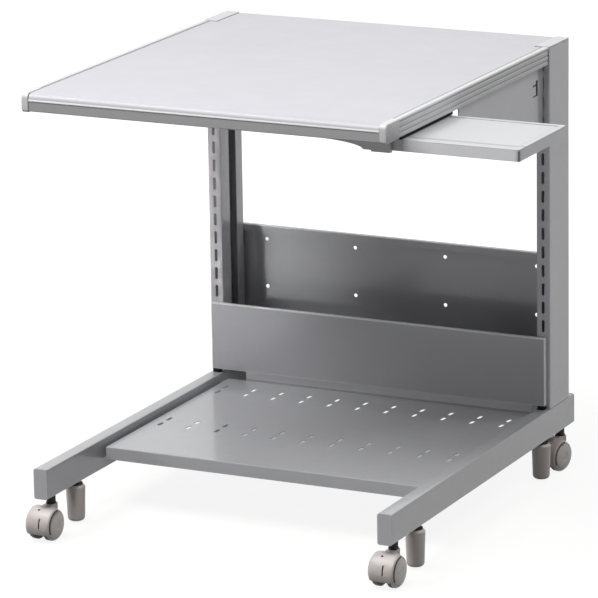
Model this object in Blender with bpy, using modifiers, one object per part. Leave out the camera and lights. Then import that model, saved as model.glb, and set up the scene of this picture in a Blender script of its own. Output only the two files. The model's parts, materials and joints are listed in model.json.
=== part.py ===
"""Computer desk on casters, with slotted posts, a hooked-on desktop and a sliding mouse tray.

Sizes are in metres. X runs across the desk, -Y is its front and Z is up from the floor.
"""

import math

import bmesh
import bpy
from mathutils import Matrix, Vector

# Overall size, and the gap left between pieces that touch.
DESK_WIDTH = 0.600
DESK_DEPTH = 0.700
DESK_HEIGHT = 0.700
GAP = 0.0003

# Casters: twin wheels under a hood, trailing behind a plain stem.
WHEEL_RADIUS = 0.025
WHEEL_WIDTH = 0.0148
WHEEL_EDGE = 0.0075
WHEEL_SIDE_GAP = 0.0006
CASTER_WEB = 0.0145
CASTER_TRAIL = 0.018
CASTER_END_INSET = 0.0315
FRONT_CASTER_TURN = math.radians(-2.5)
REAR_CASTER_TURN = math.radians(-13)
FENDER_GAP = 0.0010
FENDER_WALL = 0.0018
FENDER_ROUND = 0.0085
FENDER_ROUND_ANGLE = math.radians(70)
FENDER_REAR_ANGLE = math.radians(84)
FENDER_FRONT_ANGLE = math.radians(205)
HOOD_HUB_RADIUS = 0.009
HOOD_STEM_WALL = 0.0030
HOOD_STEM_DEPTH = 0.028
HOOD_SLIT_WIDTH = 0.0022
HOOD_SLIT_LENGTH = 0.018
HOOD_SLIT_ABOVE_AXLE = 0.0080
HOOD_SLIT_OFFSET = 0.0042
HOOD_SLIT_HEAD = 0.0044
HOOD_SLIT_DEPTH = 0.0045
HOOD_HOLE_RADIUS = 0.0016
HOOD_HOLE_OFFSET = -0.0030
HOOD_HOLE_ANGLE = math.radians(117)
STEM_FLANGE_RADIUS = 0.0080
STEM_FLANGE = 0.0022
STEM_NECK_RADIUS = 0.0070
STEM_NECK = 0.0114
STEM_LOWER_PIN_RADIUS = 0.0040
STEM_UPPER_PIN_RADIUS = 0.0055
STEM_UPPER_PIN = 0.032
AXLE_RADIUS = 0.0030
AXLE_END_COVER = 0.0030

# Levelling legs: a plastic foot on a threaded stud.
LEG_RADIUS = 0.0152
LEG_TAPER = 0.0016
LEG_HEIGHT = 0.0605
LEG_SHOULDER = 0.0030
LEG_SHOULDER_HEIGHT = 0.0045
LEG_FLOOR_GAP = 0.003
LEG_ROUND = 0.006
LEG_CASTER_CLEARANCE = 0.0165
STUD_RADIUS = 0.0050
STUD_IN_FOOT = 0.024
STUD_IN_RAIL = 0.026

# Base rails: box tube with plastic end caps.
RAIL_WIDTH = 0.023
RAIL_HEIGHT = 0.048
RAIL_WALL = 0.0016
RAIL_RADIUS = 0.0030
RAIL_CAP = 0.0020
CAP_PLUG = 0.008

# Posts: lipped channel open to the inside, slotted up the front.
POST_DEPTH = 0.080
POST_REAR_INSET = 0.020
POST_WALL = 0.0016
POST_BEND = 0.0025
POST_FRONT_LIP = 0.030
POST_REAR_LIP = 0.025
POST_FOOT = 0.0030
POST_CAP = 0.0020
SLOT_WIDTH = 0.005
SLOT_LENGTH = 0.020
SLOT_CORNER = 0.0016
SLOT_PITCH = 0.030
SLOT_ABOVE_PANEL = 0.0177
SLOT_TOP_MARGIN = 0.015

# Folded steel panels between the posts.
PANEL_SIDE_INSET = 0.005
PANEL_DEPTH = 0.010
PANEL_WALL = 0.0012
PANEL_BEND = 0.0020
FRONT_PANEL_LIP = 0.014
FRONT_PANEL_HEIGHT = 0.1112
BACK_PANEL_LIP = 0.011
BACK_PANEL_HEIGHT = 0.2251
BACK_APRON_FLOOR_INSET = 0.004
BACK_APRON_SIDE_GAP = 0.002
BACK_HOLE_RADIUS = 0.0033
BACK_HOLE_COLUMNS = 4
BACK_HOLE_ROWS = 2
BACK_HOLE_PITCH_X = 0.160
BACK_HOLE_PITCH_Z = 0.080
BACK_HOLE_TOP_INSET = 0.0245

# Shelf between the rails.
SHELF_DEPTH = 0.423
SHELF_SIDE_GAP = 0.006
SHELF_BELOW_RAIL_TOP = 0.0107
SHELF_FOLD = 0.020
SHELF_WALL = 0.0012
SHELF_BEND = 0.0020
SHELF_UPSTAND = 0.0168
SHELF_UPSTAND_INSET = 0.034
SHELF_SLOT_WIDTH = 0.0054
SHELF_SLOT_LENGTH = 0.0130
SHELF_SLOT_CORNER = 0.0019
SHELF_SLOT_COLUMNS = 11
SHELF_SLOT_PITCH = 0.050
SHELF_SLOT_PAIR = 0.030
SHELF_SLOT_ROWS = 0.200
SHELF_SLOT_REAR_INSET = 0.0634

# Desktop: board with a rounded front, ribbed side mouldings and front corner caps.
BOARD_THICKNESS = 0.027
BOARD_FRONT_ROUND = 0.009
BOARD_UNDER_ROUND = 0.0015
BOARD_BEHIND_POST_FRONT = 0.076
BOARD_NOTCH_GAP = 0.0012
EDGE_BAND = 0.0012
MOULDING_WIDTH = 0.012
MOULDING_LIP = 0.001
MOULDING_WALL = 0.0020
MOULDING_ROUND = 0.0030
MOULDING_POST_GAP = 0.004
GROOVE_COUNT = 3
GROOVE_WIDTH = 0.0030
GROOVE_DEPTH = 0.0008
GROOVE_PITCH = 0.0062
CORNER_CAP_LENGTH = 0.043
CORNER_CAP_EDGE = 0.0015

# Desk brackets: plates hooked into the post slots, flanged under the board.
BRACKET_WALL = 0.0020
BRACKET_REACH = 0.322
BRACKET_FRONT_HEIGHT = 0.030
BRACKET_REAR_HEIGHT = 0.125
BRACKET_CORNER = 0.008
BRACKET_FLANGE = 0.026
HOOK_NECK = 0.010
HOOK_TAIL = 0.006
HOOK_THICKNESS = 0.0025
HOOK_MARGIN = 0.004
LOCK_SLOT_HEIGHT = 0.025
LOCK_SLOT_WIDTH = 0.0070
LOCK_SLOT_ARM = 0.012
LOCK_SLOT_ARM_HEIGHT = 0.004
LOCK_SLOT_ARM_DROP = 0.005
LOCK_SLOT_FOOT_HEIGHT = 0.0022
LOCK_SLOT_REAR_INSET = 0.0220
LOCK_SLOT_TOP_INSET = 0.0205
LOCK_PAD = 0.0020
LOCK_PAD_MARGIN = 0.005

# Mouse tray, its slide plate and the runners under the board.
TRAY_LENGTH = 0.240
TRAY_DEPTH = 0.175
TRAY_THICKNESS = 0.018
TRAY_PULL = 0.182
TRAY_DROP = 0.005
TRAY_FRONT_INSET = 0.056
TRAY_CORNER = 0.004
TRAY_EDGE = 0.0008
TRAY_RIM = 0.009
TRAY_RECESS = 0.0008
TRAY_STRIP = 0.006
PLATE_THICKNESS = 0.0015
PLATE_LENGTH = 0.190
PLATE_SIDE_INSET = 0.010
PLATE_ENGAGEMENT = 0.003
RUNNER_CHEEK = 0.007
RUNNER_SIDE_GAP = 0.0015
RUNNER_SLOT_GAP = 0.0004
RUNNER_SIDE_INSET = 0.017
RUNNER_END_MARGIN = 0.010
RUNNER_DEPTH = 0.0107
RUNNER_BLOCK_DEPTH = 0.0247
RUNNER_BLOCK_LENGTH = 0.031
RUNNER_RIB_LENGTH = 0.013
RUNNER_RIB_STEP = 0.0022
RUNNER_CURVE_LENGTH = 0.090
RUNNER_FLANGE = 0.010
RUNNER_FLANGE_THICKNESS = 0.003
RUNNER_FLANGE_INSET = 0.045

# Screws of the brackets and of the tray, and the runners' moulded pegs.
SCREW_RADIUS = 0.0020
SCREW_HEAD_RADIUS = 0.0040
SCREW_HEAD_HEIGHT = 0.0018
SCREW_IN_BOARD = 0.012
SCREW_IN_TRAY = 0.010
BRACKET_SCREW_INSET = 0.035
TRAY_SCREW_PITCH = 0.110
PEG_RADIUS = 0.0035
PEG_LENGTH = 0.010
PEG_COUNT = 3
PEG_INSET = 0.030

# Facets of round shapes.
WHEEL_FACETS = 24
TURNED_FACETS = 16
STUD_FACETS = 12
SCREW_FACETS = 10
HOLE_FACETS = 8
BEND_FACETS = 2
ROUND_FACETS = 4
FENDER_FACETS = 12
CURVE_FACETS = 10
SMOOTH_ANGLE = math.radians(35)

# Places that follow from the sizes above.
FENDER_RADIUS = WHEEL_RADIUS + FENDER_GAP + FENDER_WALL
CASTER_HALF_WIDTH = CASTER_WEB / 2 + WHEEL_SIDE_GAP + WHEEL_WIDTH
CASTER_Y = DESK_DEPTH / 2 - CASTER_END_INSET
LEG_Y = CASTER_Y - CASTER_TRAIL - FENDER_RADIUS - LEG_CASTER_CLEARANCE - LEG_RADIUS
HOOD_TOP = WHEEL_RADIUS + FENDER_RADIUS
RAIL_BOTTOM = HOOD_TOP + STEM_FLANGE + STEM_NECK + 2 * GAP
RAIL_TOP = RAIL_BOTTOM + RAIL_HEIGHT
RAIL_CENTRE_X = DESK_WIDTH / 2 - RAIL_WIDTH / 2
RAIL_INNER_X = DESK_WIDTH / 2 - RAIL_WIDTH
POST_REAR = DESK_DEPTH / 2 - POST_REAR_INSET
POST_FRONT = POST_REAR - POST_DEPTH
POST_BOTTOM = RAIL_TOP + GAP
POST_TOP = DESK_HEIGHT - POST_CAP - GAP
SHELF_TOP = RAIL_TOP - SHELF_BELOW_RAIL_TOP
SHELF_HALF_WIDTH = RAIL_INNER_X - SHELF_SIDE_GAP
SHELF_REAR = POST_FRONT - GAP
PANEL_HALF_WIDTH = DESK_WIDTH / 2 - PANEL_SIDE_INSET
PANEL_BOTTOM = SHELF_TOP + SHELF_UPSTAND + GAP
FRONT_PANEL_TOP = PANEL_BOTTOM + FRONT_PANEL_HEIGHT
BACK_PANEL_TOP = PANEL_BOTTOM + BACK_PANEL_HEIGHT
BOARD_TOP = DESK_HEIGHT - MOULDING_LIP
BOARD_BOTTOM = BOARD_TOP - BOARD_THICKNESS
BOARD_HALF_WIDTH = DESK_WIDTH / 2 - MOULDING_WIDTH - GAP
BOARD_REAR = POST_FRONT + BOARD_BEHIND_POST_FRONT - EDGE_BAND - GAP
BOARD_TONGUE_HALF_WIDTH = RAIL_INNER_X - BOARD_NOTCH_GAP
MOULDING_HEIGHT = DESK_HEIGHT - BOARD_BOTTOM
MOULDING_REAR = POST_FRONT - MOULDING_POST_GAP
BRACKET_TOP = BOARD_BOTTOM - GAP
BRACKET_REAR = POST_FRONT - GAP
BRACKET_FRONT = BRACKET_REAR - BRACKET_REACH
TRAY_TOP = BOARD_BOTTOM - TRAY_DROP
TRAY_RIGHT = DESK_WIDTH / 2 + TRAY_PULL
TRAY_LEFT = TRAY_RIGHT - TRAY_LENGTH
TRAY_FRONT = -DESK_DEPTH / 2 + TRAY_FRONT_INSET
TRAY_MIDDLE_Y = TRAY_FRONT + TRAY_DEPTH / 2
PLATE_BOTTOM = TRAY_TOP + GAP
PLATE_TOP = PLATE_BOTTOM + PLATE_THICKNESS
PLATE_RIGHT = DESK_WIDTH / 2 - PLATE_SIDE_INSET
PLATE_LEFT = PLATE_RIGHT - PLATE_LENGTH
RUNNER_TOP = BOARD_BOTTOM - GAP
RUNNER_RIGHT = DESK_WIDTH / 2 - RUNNER_SIDE_INSET
RUNNER_LEFT = PLATE_LEFT - TRAY_PULL - RUNNER_END_MARGIN
RUNNER_INNER_Y = TRAY_DEPTH / 2 + RUNNER_SIDE_GAP
RUNNER_OUTER_Y = RUNNER_INNER_Y + RUNNER_CHEEK

SIDES = {"left": -1, "right": 1}
ENDS = {"front": -1, "rear": 1}

# A flat outline is drawn in its own XY plane. These turns stand it up for a prism along Y or X.
ALONG_Y = (math.radians(90), 0, 0)
ALONG_X = (math.radians(90), 0, math.radians(90))
ALONG_Z = (0, 0, 0)


def clear_scene():
    for old in list(bpy.data.objects):
        bpy.data.objects.remove(old, do_unlink=True)


def new_collection(name):
    made = bpy.data.collections.new(name)
    bpy.context.scene.collection.children.link(made)
    return made


def new_material(name, colour, roughness, metallic):
    made = bpy.data.materials.new(name)
    made.use_nodes = True
    shader = made.node_tree.nodes["Principled BSDF"]
    shader.inputs["Base Color"].default_value = (*colour, 1)
    shader.inputs["Roughness"].default_value = roughness
    shader.inputs["Metallic"].default_value = metallic
    return made


clear_scene()
PARTS = new_collection("computer_desk")
CUTTERS = new_collection("cutters")

SILVER_PAINT = new_material("silver_paint", (0.46, 0.46, 0.48), 0.38, 0.35)
LAMINATE = new_material("pale_laminate", (0.73, 0.73, 0.77), 0.45, 0.0)
EDGE_PLASTIC = new_material("silver_edge_plastic", (0.55, 0.55, 0.57), 0.35, 0.1)
WHITE_PLASTIC = new_material("white_plastic", (0.82, 0.82, 0.83), 0.35, 0.0)
TRAY_PLASTIC = new_material("pale_tray", (0.74, 0.76, 0.78), 0.40, 0.0)
DARK_PLASTIC = new_material("dark_grey_plastic", (0.12, 0.12, 0.12), 0.50, 0.0)
BEIGE_PLASTIC = new_material("warm_grey_plastic", (0.48, 0.44, 0.42), 0.42, 0.0)
BLACK_STEEL = new_material("black_steel", (0.02, 0.02, 0.02), 0.45, 0.6)
ZINC = new_material("zinc_plate", (0.60, 0.60, 0.58), 0.35, 1.0)


def new_empty(name, parent=None, location=(0, 0, 0), turn=0.0):
    made = bpy.data.objects.new(name, None)
    made.empty_display_size = WHEEL_RADIUS
    made.location = location
    made.rotation_euler = (0, 0, turn)
    made.parent = parent
    PARTS.objects.link(made)
    return made


ROOT = new_empty("desk_origin")


def place(name, mesh, material, location=(0, 0, 0), rotation=ALONG_Z, parent=ROOT):
    """A visible piece of the desk, shaded smooth with its hard edges kept."""
    piece = bpy.data.objects.new(name, mesh)
    piece.location = location
    piece.rotation_euler = rotation
    piece.parent = parent
    if not mesh.materials:
        mesh.materials.append(material)
    mesh.shade_smooth()
    mesh.set_sharp_from_angle(angle=SMOOTH_ANGLE)
    PARTS.objects.link(piece)
    return piece


def tool(name, mesh, location=(0, 0, 0), rotation=ALONG_Z, parent=ROOT):
    """A solid that is only cut from a piece, or joined to one."""
    made = bpy.data.objects.new(name, mesh)
    made.location = location
    made.rotation_euler = rotation
    made.parent = parent
    made.hide_render = True
    made.display_type = "WIRE"
    CUTTERS.objects.link(made)
    return made


def combine(piece, other, operation):
    step = piece.modifiers.new(other.name, "BOOLEAN")
    step.operation = operation
    step.solver = "EXACT"
    step.object = other


def cut(piece, other):
    combine(piece, other, "DIFFERENCE")


def join(piece, other):
    combine(piece, other, "UNION")


def keep(piece, other):
    combine(piece, other, "INTERSECT")


def bevel(piece, width, segments=BEND_FACETS):
    step = piece.modifiers.new("rounded_edges", "BEVEL")
    step.width = width
    step.segments = segments
    step.limit_method = "ANGLE"
    step.angle_limit = SMOOTH_ANGLE
    return step


def finished_mesh(source):
    """The evaluated mesh of a helper object, welded, with its faces pointing out."""
    CUTTERS.objects.link(source)
    graph = bpy.context.evaluated_depsgraph_get()
    mesh = bpy.data.meshes.new_from_object(source.evaluated_get(graph))
    bpy.data.objects.remove(source, do_unlink=True)
    mesh.materials.clear()
    shape = bmesh.new()
    shape.from_mesh(mesh)
    bmesh.ops.remove_doubles(shape, verts=shape.verts, dist=1e-6)
    bmesh.ops.recalc_face_normals(shape, faces=shape.faces)
    shape.to_mesh(mesh)
    shape.free()
    return mesh


def prism(name, loops, depth):
    """Flat outline, the loops after the first being holes, given an even thickness about its plane."""
    curve = bpy.data.curves.new(name, "CURVE")
    curve.dimensions = "2D"
    curve.fill_mode = "BOTH"
    curve.extrude = depth / 2
    for loop in loops:
        spline = curve.splines.new("POLY")
        spline.points.add(len(loop) - 1)
        for point, (across, along) in zip(spline.points, loop):
            point.co = (across, along, 0, 1)
        spline.use_cyclic_u = True
    return finished_mesh(bpy.data.objects.new(name, curve))


def turned(name, profile, facets):
    """Profile of (radius, height) points, top to bottom, turned about Z."""
    mesh = bpy.data.meshes.new(name)
    edges = [(i, i + 1) for i in range(len(profile) - 1)]
    mesh.from_pydata([(radius, 0, height) for radius, height in profile], edges, [])
    source = bpy.data.objects.new(name, mesh)
    turn = source.modifiers.new("turn", "SCREW")
    turn.steps = facets
    turn.render_steps = facets
    turn.use_merge_vertices = True
    turn.merge_threshold = 1e-5
    return finished_mesh(source)


def box(name, low, high):
    """Mesh and centre of a box between two corners."""
    low = Vector(low)
    high = Vector(high)
    shape = bmesh.new()
    bmesh.ops.create_cube(shape, size=1)
    bmesh.ops.scale(shape, vec=high - low, verts=shape.verts)
    mesh = bpy.data.meshes.new(name)
    shape.to_mesh(mesh)
    shape.free()
    return mesh, (low + high) / 2


def box_tool(name, low, high):
    mesh, centre = box(name, low, high)
    return tool(name, mesh, centre)


def copies(name, mesh, places):
    """One mesh of separate bodies, a copy of the given mesh at each matrix."""
    shape = bmesh.new()
    for matrix in places:
        before = len(shape.verts)
        shape.from_mesh(mesh)
        shape.verts.ensure_lookup_table()
        bmesh.ops.transform(shape, matrix=matrix, verts=shape.verts[before:])
    group = bpy.data.meshes.new(name)
    shape.to_mesh(group)
    shape.free()
    return group


def aimed(point, axis):
    """Matrix that moves to a point and turns -Z to an axis, as a screw is driven."""
    turn = Vector((0, 0, -1)).rotation_difference(Vector(axis)).to_matrix().to_4x4()
    return Matrix.Translation(point) @ turn


def drill(name, sites, radius, depth, parent=ROOT):
    """Round cutters from just above each site's point to a depth along its axis, clear of the radius."""
    clear = (radius + GAP) / math.cos(math.pi / HOLE_FACETS)
    profile = [(0, radius), (clear, radius), (clear, -depth - GAP), (0, -depth - GAP)]
    bit = turned(name, profile, HOLE_FACETS)
    return tool(name, copies(name, bit, [aimed(*site) for site in sites]), parent=parent)


def screw_mesh(name, depth):
    """Round-headed screw along -Z, its head bearing at 0."""
    edge = SCREW_HEAD_HEIGHT / 2
    profile = [
        (0, SCREW_HEAD_HEIGHT),
        (SCREW_HEAD_RADIUS - edge, SCREW_HEAD_HEIGHT),
        (SCREW_HEAD_RADIUS, SCREW_HEAD_HEIGHT - edge),
        (SCREW_HEAD_RADIUS, 0),
        (SCREW_RADIUS, 0),
        (SCREW_RADIUS, -depth),
        (0, -depth),
    ]
    return turned(name, profile, SCREW_FACETS)


def place_screw(name, mesh, site, parent=ROOT):
    matrix = aimed(*site)
    place(name, mesh, ZINC, matrix.to_translation(), matrix.to_euler(), parent)


def arc(centre, radii, start, end, facets):
    """Points on an ellipse's arc, both ends included."""
    points = []
    for i in range(facets + 1):
        angle = start + (end - start) * i / facets
        across = centre[0] + radii[0] * math.cos(angle)
        along = centre[1] + radii[1] * math.sin(angle)
        points.append((across, along))
    return points


def rounded(corners, facets=BEND_FACETS):
    """Outline through (across, along, radius) corners, each with its radius, 0 for a sharp one."""
    points = []
    for i, (across, along, radius) in enumerate(corners):
        here = Vector((across, along))
        if radius == 0:
            points.append((across, along))
            continue
        before = (Vector(corners[i - 1][:2]) - here).normalized()
        after = (Vector(corners[(i + 1) % len(corners)][:2]) - here).normalized()
        half = before.angle(after) / 2
        centre = here + (before + after).normalized() * (radius / math.sin(half))
        first = here + before * (radius / math.tan(half)) - centre
        last = here + after * (radius / math.tan(half)) - centre
        start = math.atan2(first.y, first.x)
        sweep = math.atan2(last.y, last.x) - start
        sweep = (sweep + math.pi) % (2 * math.pi) - math.pi
        points += arc(centre, (radius, radius), start, start + sweep, facets)
    return points


def rectangle(centre, width, height, radius=0.0, facets=BEND_FACETS):
    left, right = centre[0] - width / 2, centre[0] + width / 2
    low, high = centre[1] - height / 2, centre[1] + height / 2
    corners = [(left, low), (right, low), (right, high), (left, high)]
    return rounded([(*corner, radius) for corner in corners], facets)


def circle(centre, radius, facets=HOLE_FACETS):
    return arc(centre, (radius, radius), 0, 2 * math.pi, facets)[:-1]


def spread(count, pitch, middle=0.0):
    """Evenly pitched positions about a middle."""
    return [middle + pitch * (i - (count - 1) / 2) for i in range(count)]


def plugged_cap(name, outline, thickness, inset, plug):
    """Flat cap with a plug raised on its upper face, set in from the outline."""
    mesh = prism(name, [outline], thickness)
    shape = bmesh.new()
    shape.from_mesh(mesh)
    top = [face for face in shape.faces if face.normal.z > 0.5]
    bmesh.ops.inset_region(shape, faces=top, thickness=inset, use_even_offset=True)
    raised = bmesh.ops.extrude_face_region(shape, geom=top)["geom"]
    corners = [part for part in raised if isinstance(part, bmesh.types.BMVert)]
    bmesh.ops.translate(shape, verts=corners, vec=(0, 0, plug))
    bmesh.ops.delete(shape, geom=[face for face in top if face.is_valid], context="FACES_ONLY")
    bmesh.ops.recalc_face_normals(shape, faces=shape.faces)
    shape.to_mesh(mesh)
    shape.free()
    return mesh


def folded_pan(name, low, high, open_side, lip, wall, bend):
    """Sheet folded into a shallow pan. Its open side keeps a lip all round, or none if lip is 0."""
    mesh, centre = box(name, low, high)
    shape = bmesh.new()
    shape.from_mesh(mesh)
    face = max(shape.faces, key=lambda side: side.normal.dot(Vector(open_side)))
    if lip:
        bmesh.ops.inset_region(shape, faces=[face], thickness=lip, use_even_offset=True)
    bmesh.ops.delete(shape, geom=[face], context="FACES_ONLY")
    shape.to_mesh(mesh)
    shape.free()
    pan = place(name, mesh, SILVER_PAINT, centre)
    bevel(pan, bend)
    sheet = pan.modifiers.new("sheet", "SOLIDIFY")
    sheet.thickness = wall
    sheet.offset = -1
    sheet.use_even_offset = True
    return pan


# Sites of the screws and pegs: the point each one starts from, and the way it is driven.


def bracket_screw_sites(sign):
    x = sign * (RAIL_CENTRE_X - BRACKET_FLANGE / 2 - BRACKET_WALL)
    z = BRACKET_TOP - BRACKET_WALL - GAP
    ways = (BRACKET_FRONT + BRACKET_SCREW_INSET, BRACKET_REAR - BRACKET_SCREW_INSET)
    return [((x, y, z), (0, 0, 1)) for y in ways]


def peg_sites(end):
    y = TRAY_MIDDLE_Y + end * (RUNNER_OUTER_Y + RUNNER_FLANGE / 2)
    first = RUNNER_LEFT + PEG_INSET
    last = RUNNER_RIGHT - RUNNER_FLANGE_INSET - PEG_INSET
    across = spread(PEG_COUNT, (last - first) / (PEG_COUNT - 1), (first + last) / 2)
    return [((x, y, RUNNER_TOP), (0, 0, 1)) for x in across]


def tray_screw_sites():
    """Screws in the middle of the lap between the slide plate and the tray."""
    x = (TRAY_LEFT + PLATE_RIGHT) / 2
    ways = spread(2, TRAY_SCREW_PITCH, TRAY_MIDDLE_Y)
    return [((x, y, PLATE_TOP + GAP), (0, 0, -1)) for y in ways]


BRACKET_SCREW_DEPTH = BRACKET_WALL + 2 * GAP + SCREW_IN_BOARD
TRAY_SCREW_DEPTH = PLATE_THICKNESS + 2 * GAP + SCREW_IN_TRAY


def base_rails():
    middle = (0, 0)
    outer = rectangle(middle, RAIL_WIDTH, RAIL_HEIGHT, RAIL_RADIUS)
    hollow = (RAIL_WIDTH - 2 * RAIL_WALL, RAIL_HEIGHT - 2 * RAIL_WALL)
    inner = rectangle(middle, *hollow, RAIL_RADIUS - RAIL_WALL)
    length = DESK_DEPTH - 2 * RAIL_CAP - 2 * GAP
    height = RAIL_BOTTOM + RAIL_HEIGHT / 2
    for side, sign in SIDES.items():
        x = sign * RAIL_CENTRE_X
        tube = prism(f"{side}_base_rail", [outer, inner], length)
        rail = place(f"{side}_base_rail", tube, SILVER_PAINT, (x, 0, height), ALONG_Y)
        under = RAIL_BOTTOM + RAIL_WALL
        stems = [((x, end * CASTER_Y, under), (0, 0, -1)) for end in ENDS.values()]
        studs = [((x, end * LEG_Y, under), (0, 0, -1)) for end in ENDS.values()]
        cut(rail, drill(f"{side}_stem_holes", stems, STEM_UPPER_PIN_RADIUS, 2 * RAIL_WALL))
        cut(rail, drill(f"{side}_stud_holes", studs, STUD_RADIUS, 2 * RAIL_WALL))

    cap = plugged_cap("rail_cap", outer, RAIL_CAP, RAIL_WALL + GAP, CAP_PLUG)
    for end_name, end in ENDS.items():
        for side, sign in SIDES.items():
            here = (sign * RAIL_CENTRE_X, end * (DESK_DEPTH - RAIL_CAP) / 2, height)
            plug_inward = (end * math.radians(90), 0, 0)
            place(f"{end_name}_{side}_rail_cap", cap, EDGE_PLASTIC, here, plug_inward)


def slot_heights():
    heights = [FRONT_PANEL_TOP + SLOT_ABOVE_PANEL]
    last = POST_TOP - SLOT_TOP_MARGIN - SLOT_LENGTH / 2
    while heights[-1] + SLOT_PITCH <= last:
        heights.append(heights[-1] + SLOT_PITCH)
    return heights


def post_outline(sign):
    """Lipped channel: the outer side from the front lip round to the rear lip, then the inner side back."""
    outer_x, inner_x, wall = sign * DESK_WIDTH / 2, sign * RAIL_INNER_X, sign * POST_WALL
    front_lip, rear_lip = POST_FRONT + POST_FRONT_LIP, POST_REAR - POST_REAR_LIP
    inner_front, inner_rear = POST_FRONT + POST_WALL, POST_REAR - POST_WALL
    inside = POST_BEND - POST_WALL
    corners = [
        (inner_x, front_lip, 0),
        (inner_x, POST_FRONT, POST_BEND),
        (outer_x, POST_FRONT, POST_BEND),
        (outer_x, POST_REAR, POST_BEND),
        (inner_x, POST_REAR, POST_BEND),
        (inner_x, rear_lip, 0),
        (inner_x + wall, rear_lip, 0),
        (inner_x + wall, inner_rear, inside),
        (outer_x - wall, inner_rear, inside),
        (outer_x - wall, inner_front, inside),
        (inner_x + wall, inner_front, inside),
        (inner_x + wall, front_lip, 0),
    ]
    return rounded(corners)


def posts():
    middle = (POST_BOTTOM + POST_TOP) / 2
    flange_y = POST_FRONT + POST_WALL / 2
    for side, sign in SIDES.items():
        channel = prism(f"{side}_post", [post_outline(sign)], POST_TOP - POST_BOTTOM)
        post = place(f"{side}_post", channel, SILVER_PAINT, (0, 0, middle))

        inset = POST_WALL / 2
        edges = sorted((sign * (RAIL_INNER_X + inset), sign * (DESK_WIDTH / 2 - inset)))
        low = (edges[0], POST_FRONT + inset, POST_BOTTOM)
        high = (edges[1], POST_REAR - inset, POST_BOTTOM + POST_FOOT)
        join(post, box_tool(f"{side}_post_foot", low, high))

        slots = [
            rectangle((sign * RAIL_CENTRE_X, z), SLOT_WIDTH, SLOT_LENGTH, SLOT_CORNER, 1)
            for z in slot_heights()
        ]
        punch = prism(f"{side}_slots", slots, POST_BEND * 2)
        cut(post, tool(f"{side}_slots", punch, (0, flange_y, 0), ALONG_Y))

    outline = rectangle((0, 0), RAIL_WIDTH, POST_DEPTH, POST_BEND)
    cap = plugged_cap("post_cap", outline, POST_CAP, POST_WALL + GAP, CAP_PLUG)
    plug_down = (math.radians(180), 0, 0)
    for side, sign in SIDES.items():
        top = (sign * RAIL_CENTRE_X, (POST_FRONT + POST_REAR) / 2, DESK_HEIGHT - POST_CAP / 2)
        place(f"{side}_post_cap", cap, WHITE_PLASTIC, top, plug_down)


def panels():
    folded_pan(
        "front_panel",
        (-PANEL_HALF_WIDTH, POST_FRONT - GAP - PANEL_DEPTH, PANEL_BOTTOM),
        (PANEL_HALF_WIDTH, POST_FRONT - GAP, FRONT_PANEL_TOP),
        (0, 1, 0),
        FRONT_PANEL_LIP,
        PANEL_WALL,
        PANEL_BEND,
    )
    back = folded_pan(
        "back_panel",
        (-PANEL_HALF_WIDTH, POST_REAR + GAP, PANEL_BOTTOM),
        (PANEL_HALF_WIDTH, POST_REAR + GAP + PANEL_DEPTH, BACK_PANEL_TOP),
        (0, -1, 0),
        BACK_PANEL_LIP,
        PANEL_WALL,
        PANEL_BEND,
    )
    # A narrower apron goes on down between the rails, behind the shelf.
    half = RAIL_INNER_X - BACK_APRON_SIDE_GAP
    outer = POST_REAR + GAP + PANEL_DEPTH
    low = (-half, outer - PANEL_WALL, RAIL_BOTTOM + BACK_APRON_FLOOR_INSET)
    high = (half, outer - GAP / 2, PANEL_BOTTOM + 2 * PANEL_BEND)
    join(back, box_tool("back_apron", low, high))
    holes = []
    for row in range(BACK_HOLE_ROWS):
        z = BACK_PANEL_TOP - BACK_HOLE_TOP_INSET - row * BACK_HOLE_PITCH_Z
        for x in spread(BACK_HOLE_COLUMNS, BACK_HOLE_PITCH_X):
            holes.append(circle((x, z), BACK_HOLE_RADIUS))
    punch = prism("back_panel_punch", holes, PANEL_DEPTH)
    cut(back, tool("back_panel_punch", punch, (0, POST_REAR + PANEL_DEPTH, 0), ALONG_Y))


def shelf():
    pan = folded_pan(
        "shelf",
        (-SHELF_HALF_WIDTH, SHELF_REAR - SHELF_DEPTH, SHELF_TOP - SHELF_FOLD),
        (SHELF_HALF_WIDTH, SHELF_REAR, SHELF_TOP),
        (0, 0, -1),
        0,
        SHELF_WALL,
        SHELF_BEND,
    )
    rear = SHELF_REAR - GAP
    left = -SHELF_HALF_WIDTH + SHELF_UPSTAND_INSET
    low = (left, rear - SHELF_WALL, SHELF_TOP - SHELF_FOLD / 2)
    high = (SHELF_HALF_WIDTH - SHELF_BEND, rear, SHELF_TOP + SHELF_UPSTAND)
    join(pan, box_tool("shelf_upstand", low, high))
    for side, sign in SIDES.items():
        # A flange turned out at the foot of each side fold meets the rail.
        ends = sorted((sign * (SHELF_HALF_WIDTH - SHELF_WALL / 2), sign * (RAIL_INNER_X - GAP)))
        bottom = SHELF_TOP - SHELF_FOLD + GAP / 2
        low = (ends[0], SHELF_REAR - SHELF_DEPTH + SHELF_BEND, bottom)
        high = (ends[1], SHELF_REAR - SHELF_BEND, bottom + SHELF_WALL)
        join(pan, box_tool(f"{side}_shelf_flange", low, high))

    last_row = SHELF_REAR - SHELF_SLOT_REAR_INSET
    slots = []
    for middle in (last_row, last_row - SHELF_SLOT_ROWS):
        for y in spread(2, SHELF_SLOT_PAIR, middle):
            for x in spread(SHELF_SLOT_COLUMNS, SHELF_SLOT_PITCH):
                slot = rectangle((x, y), SHELF_SLOT_WIDTH, SHELF_SLOT_LENGTH, SHELF_SLOT_CORNER, 1)
                slots.append(slot)
    punch = prism("shelf_punch", slots, SHELF_FOLD / 2)
    cut(pan, tool("shelf_punch", punch, (0, 0, SHELF_TOP)))


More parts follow.
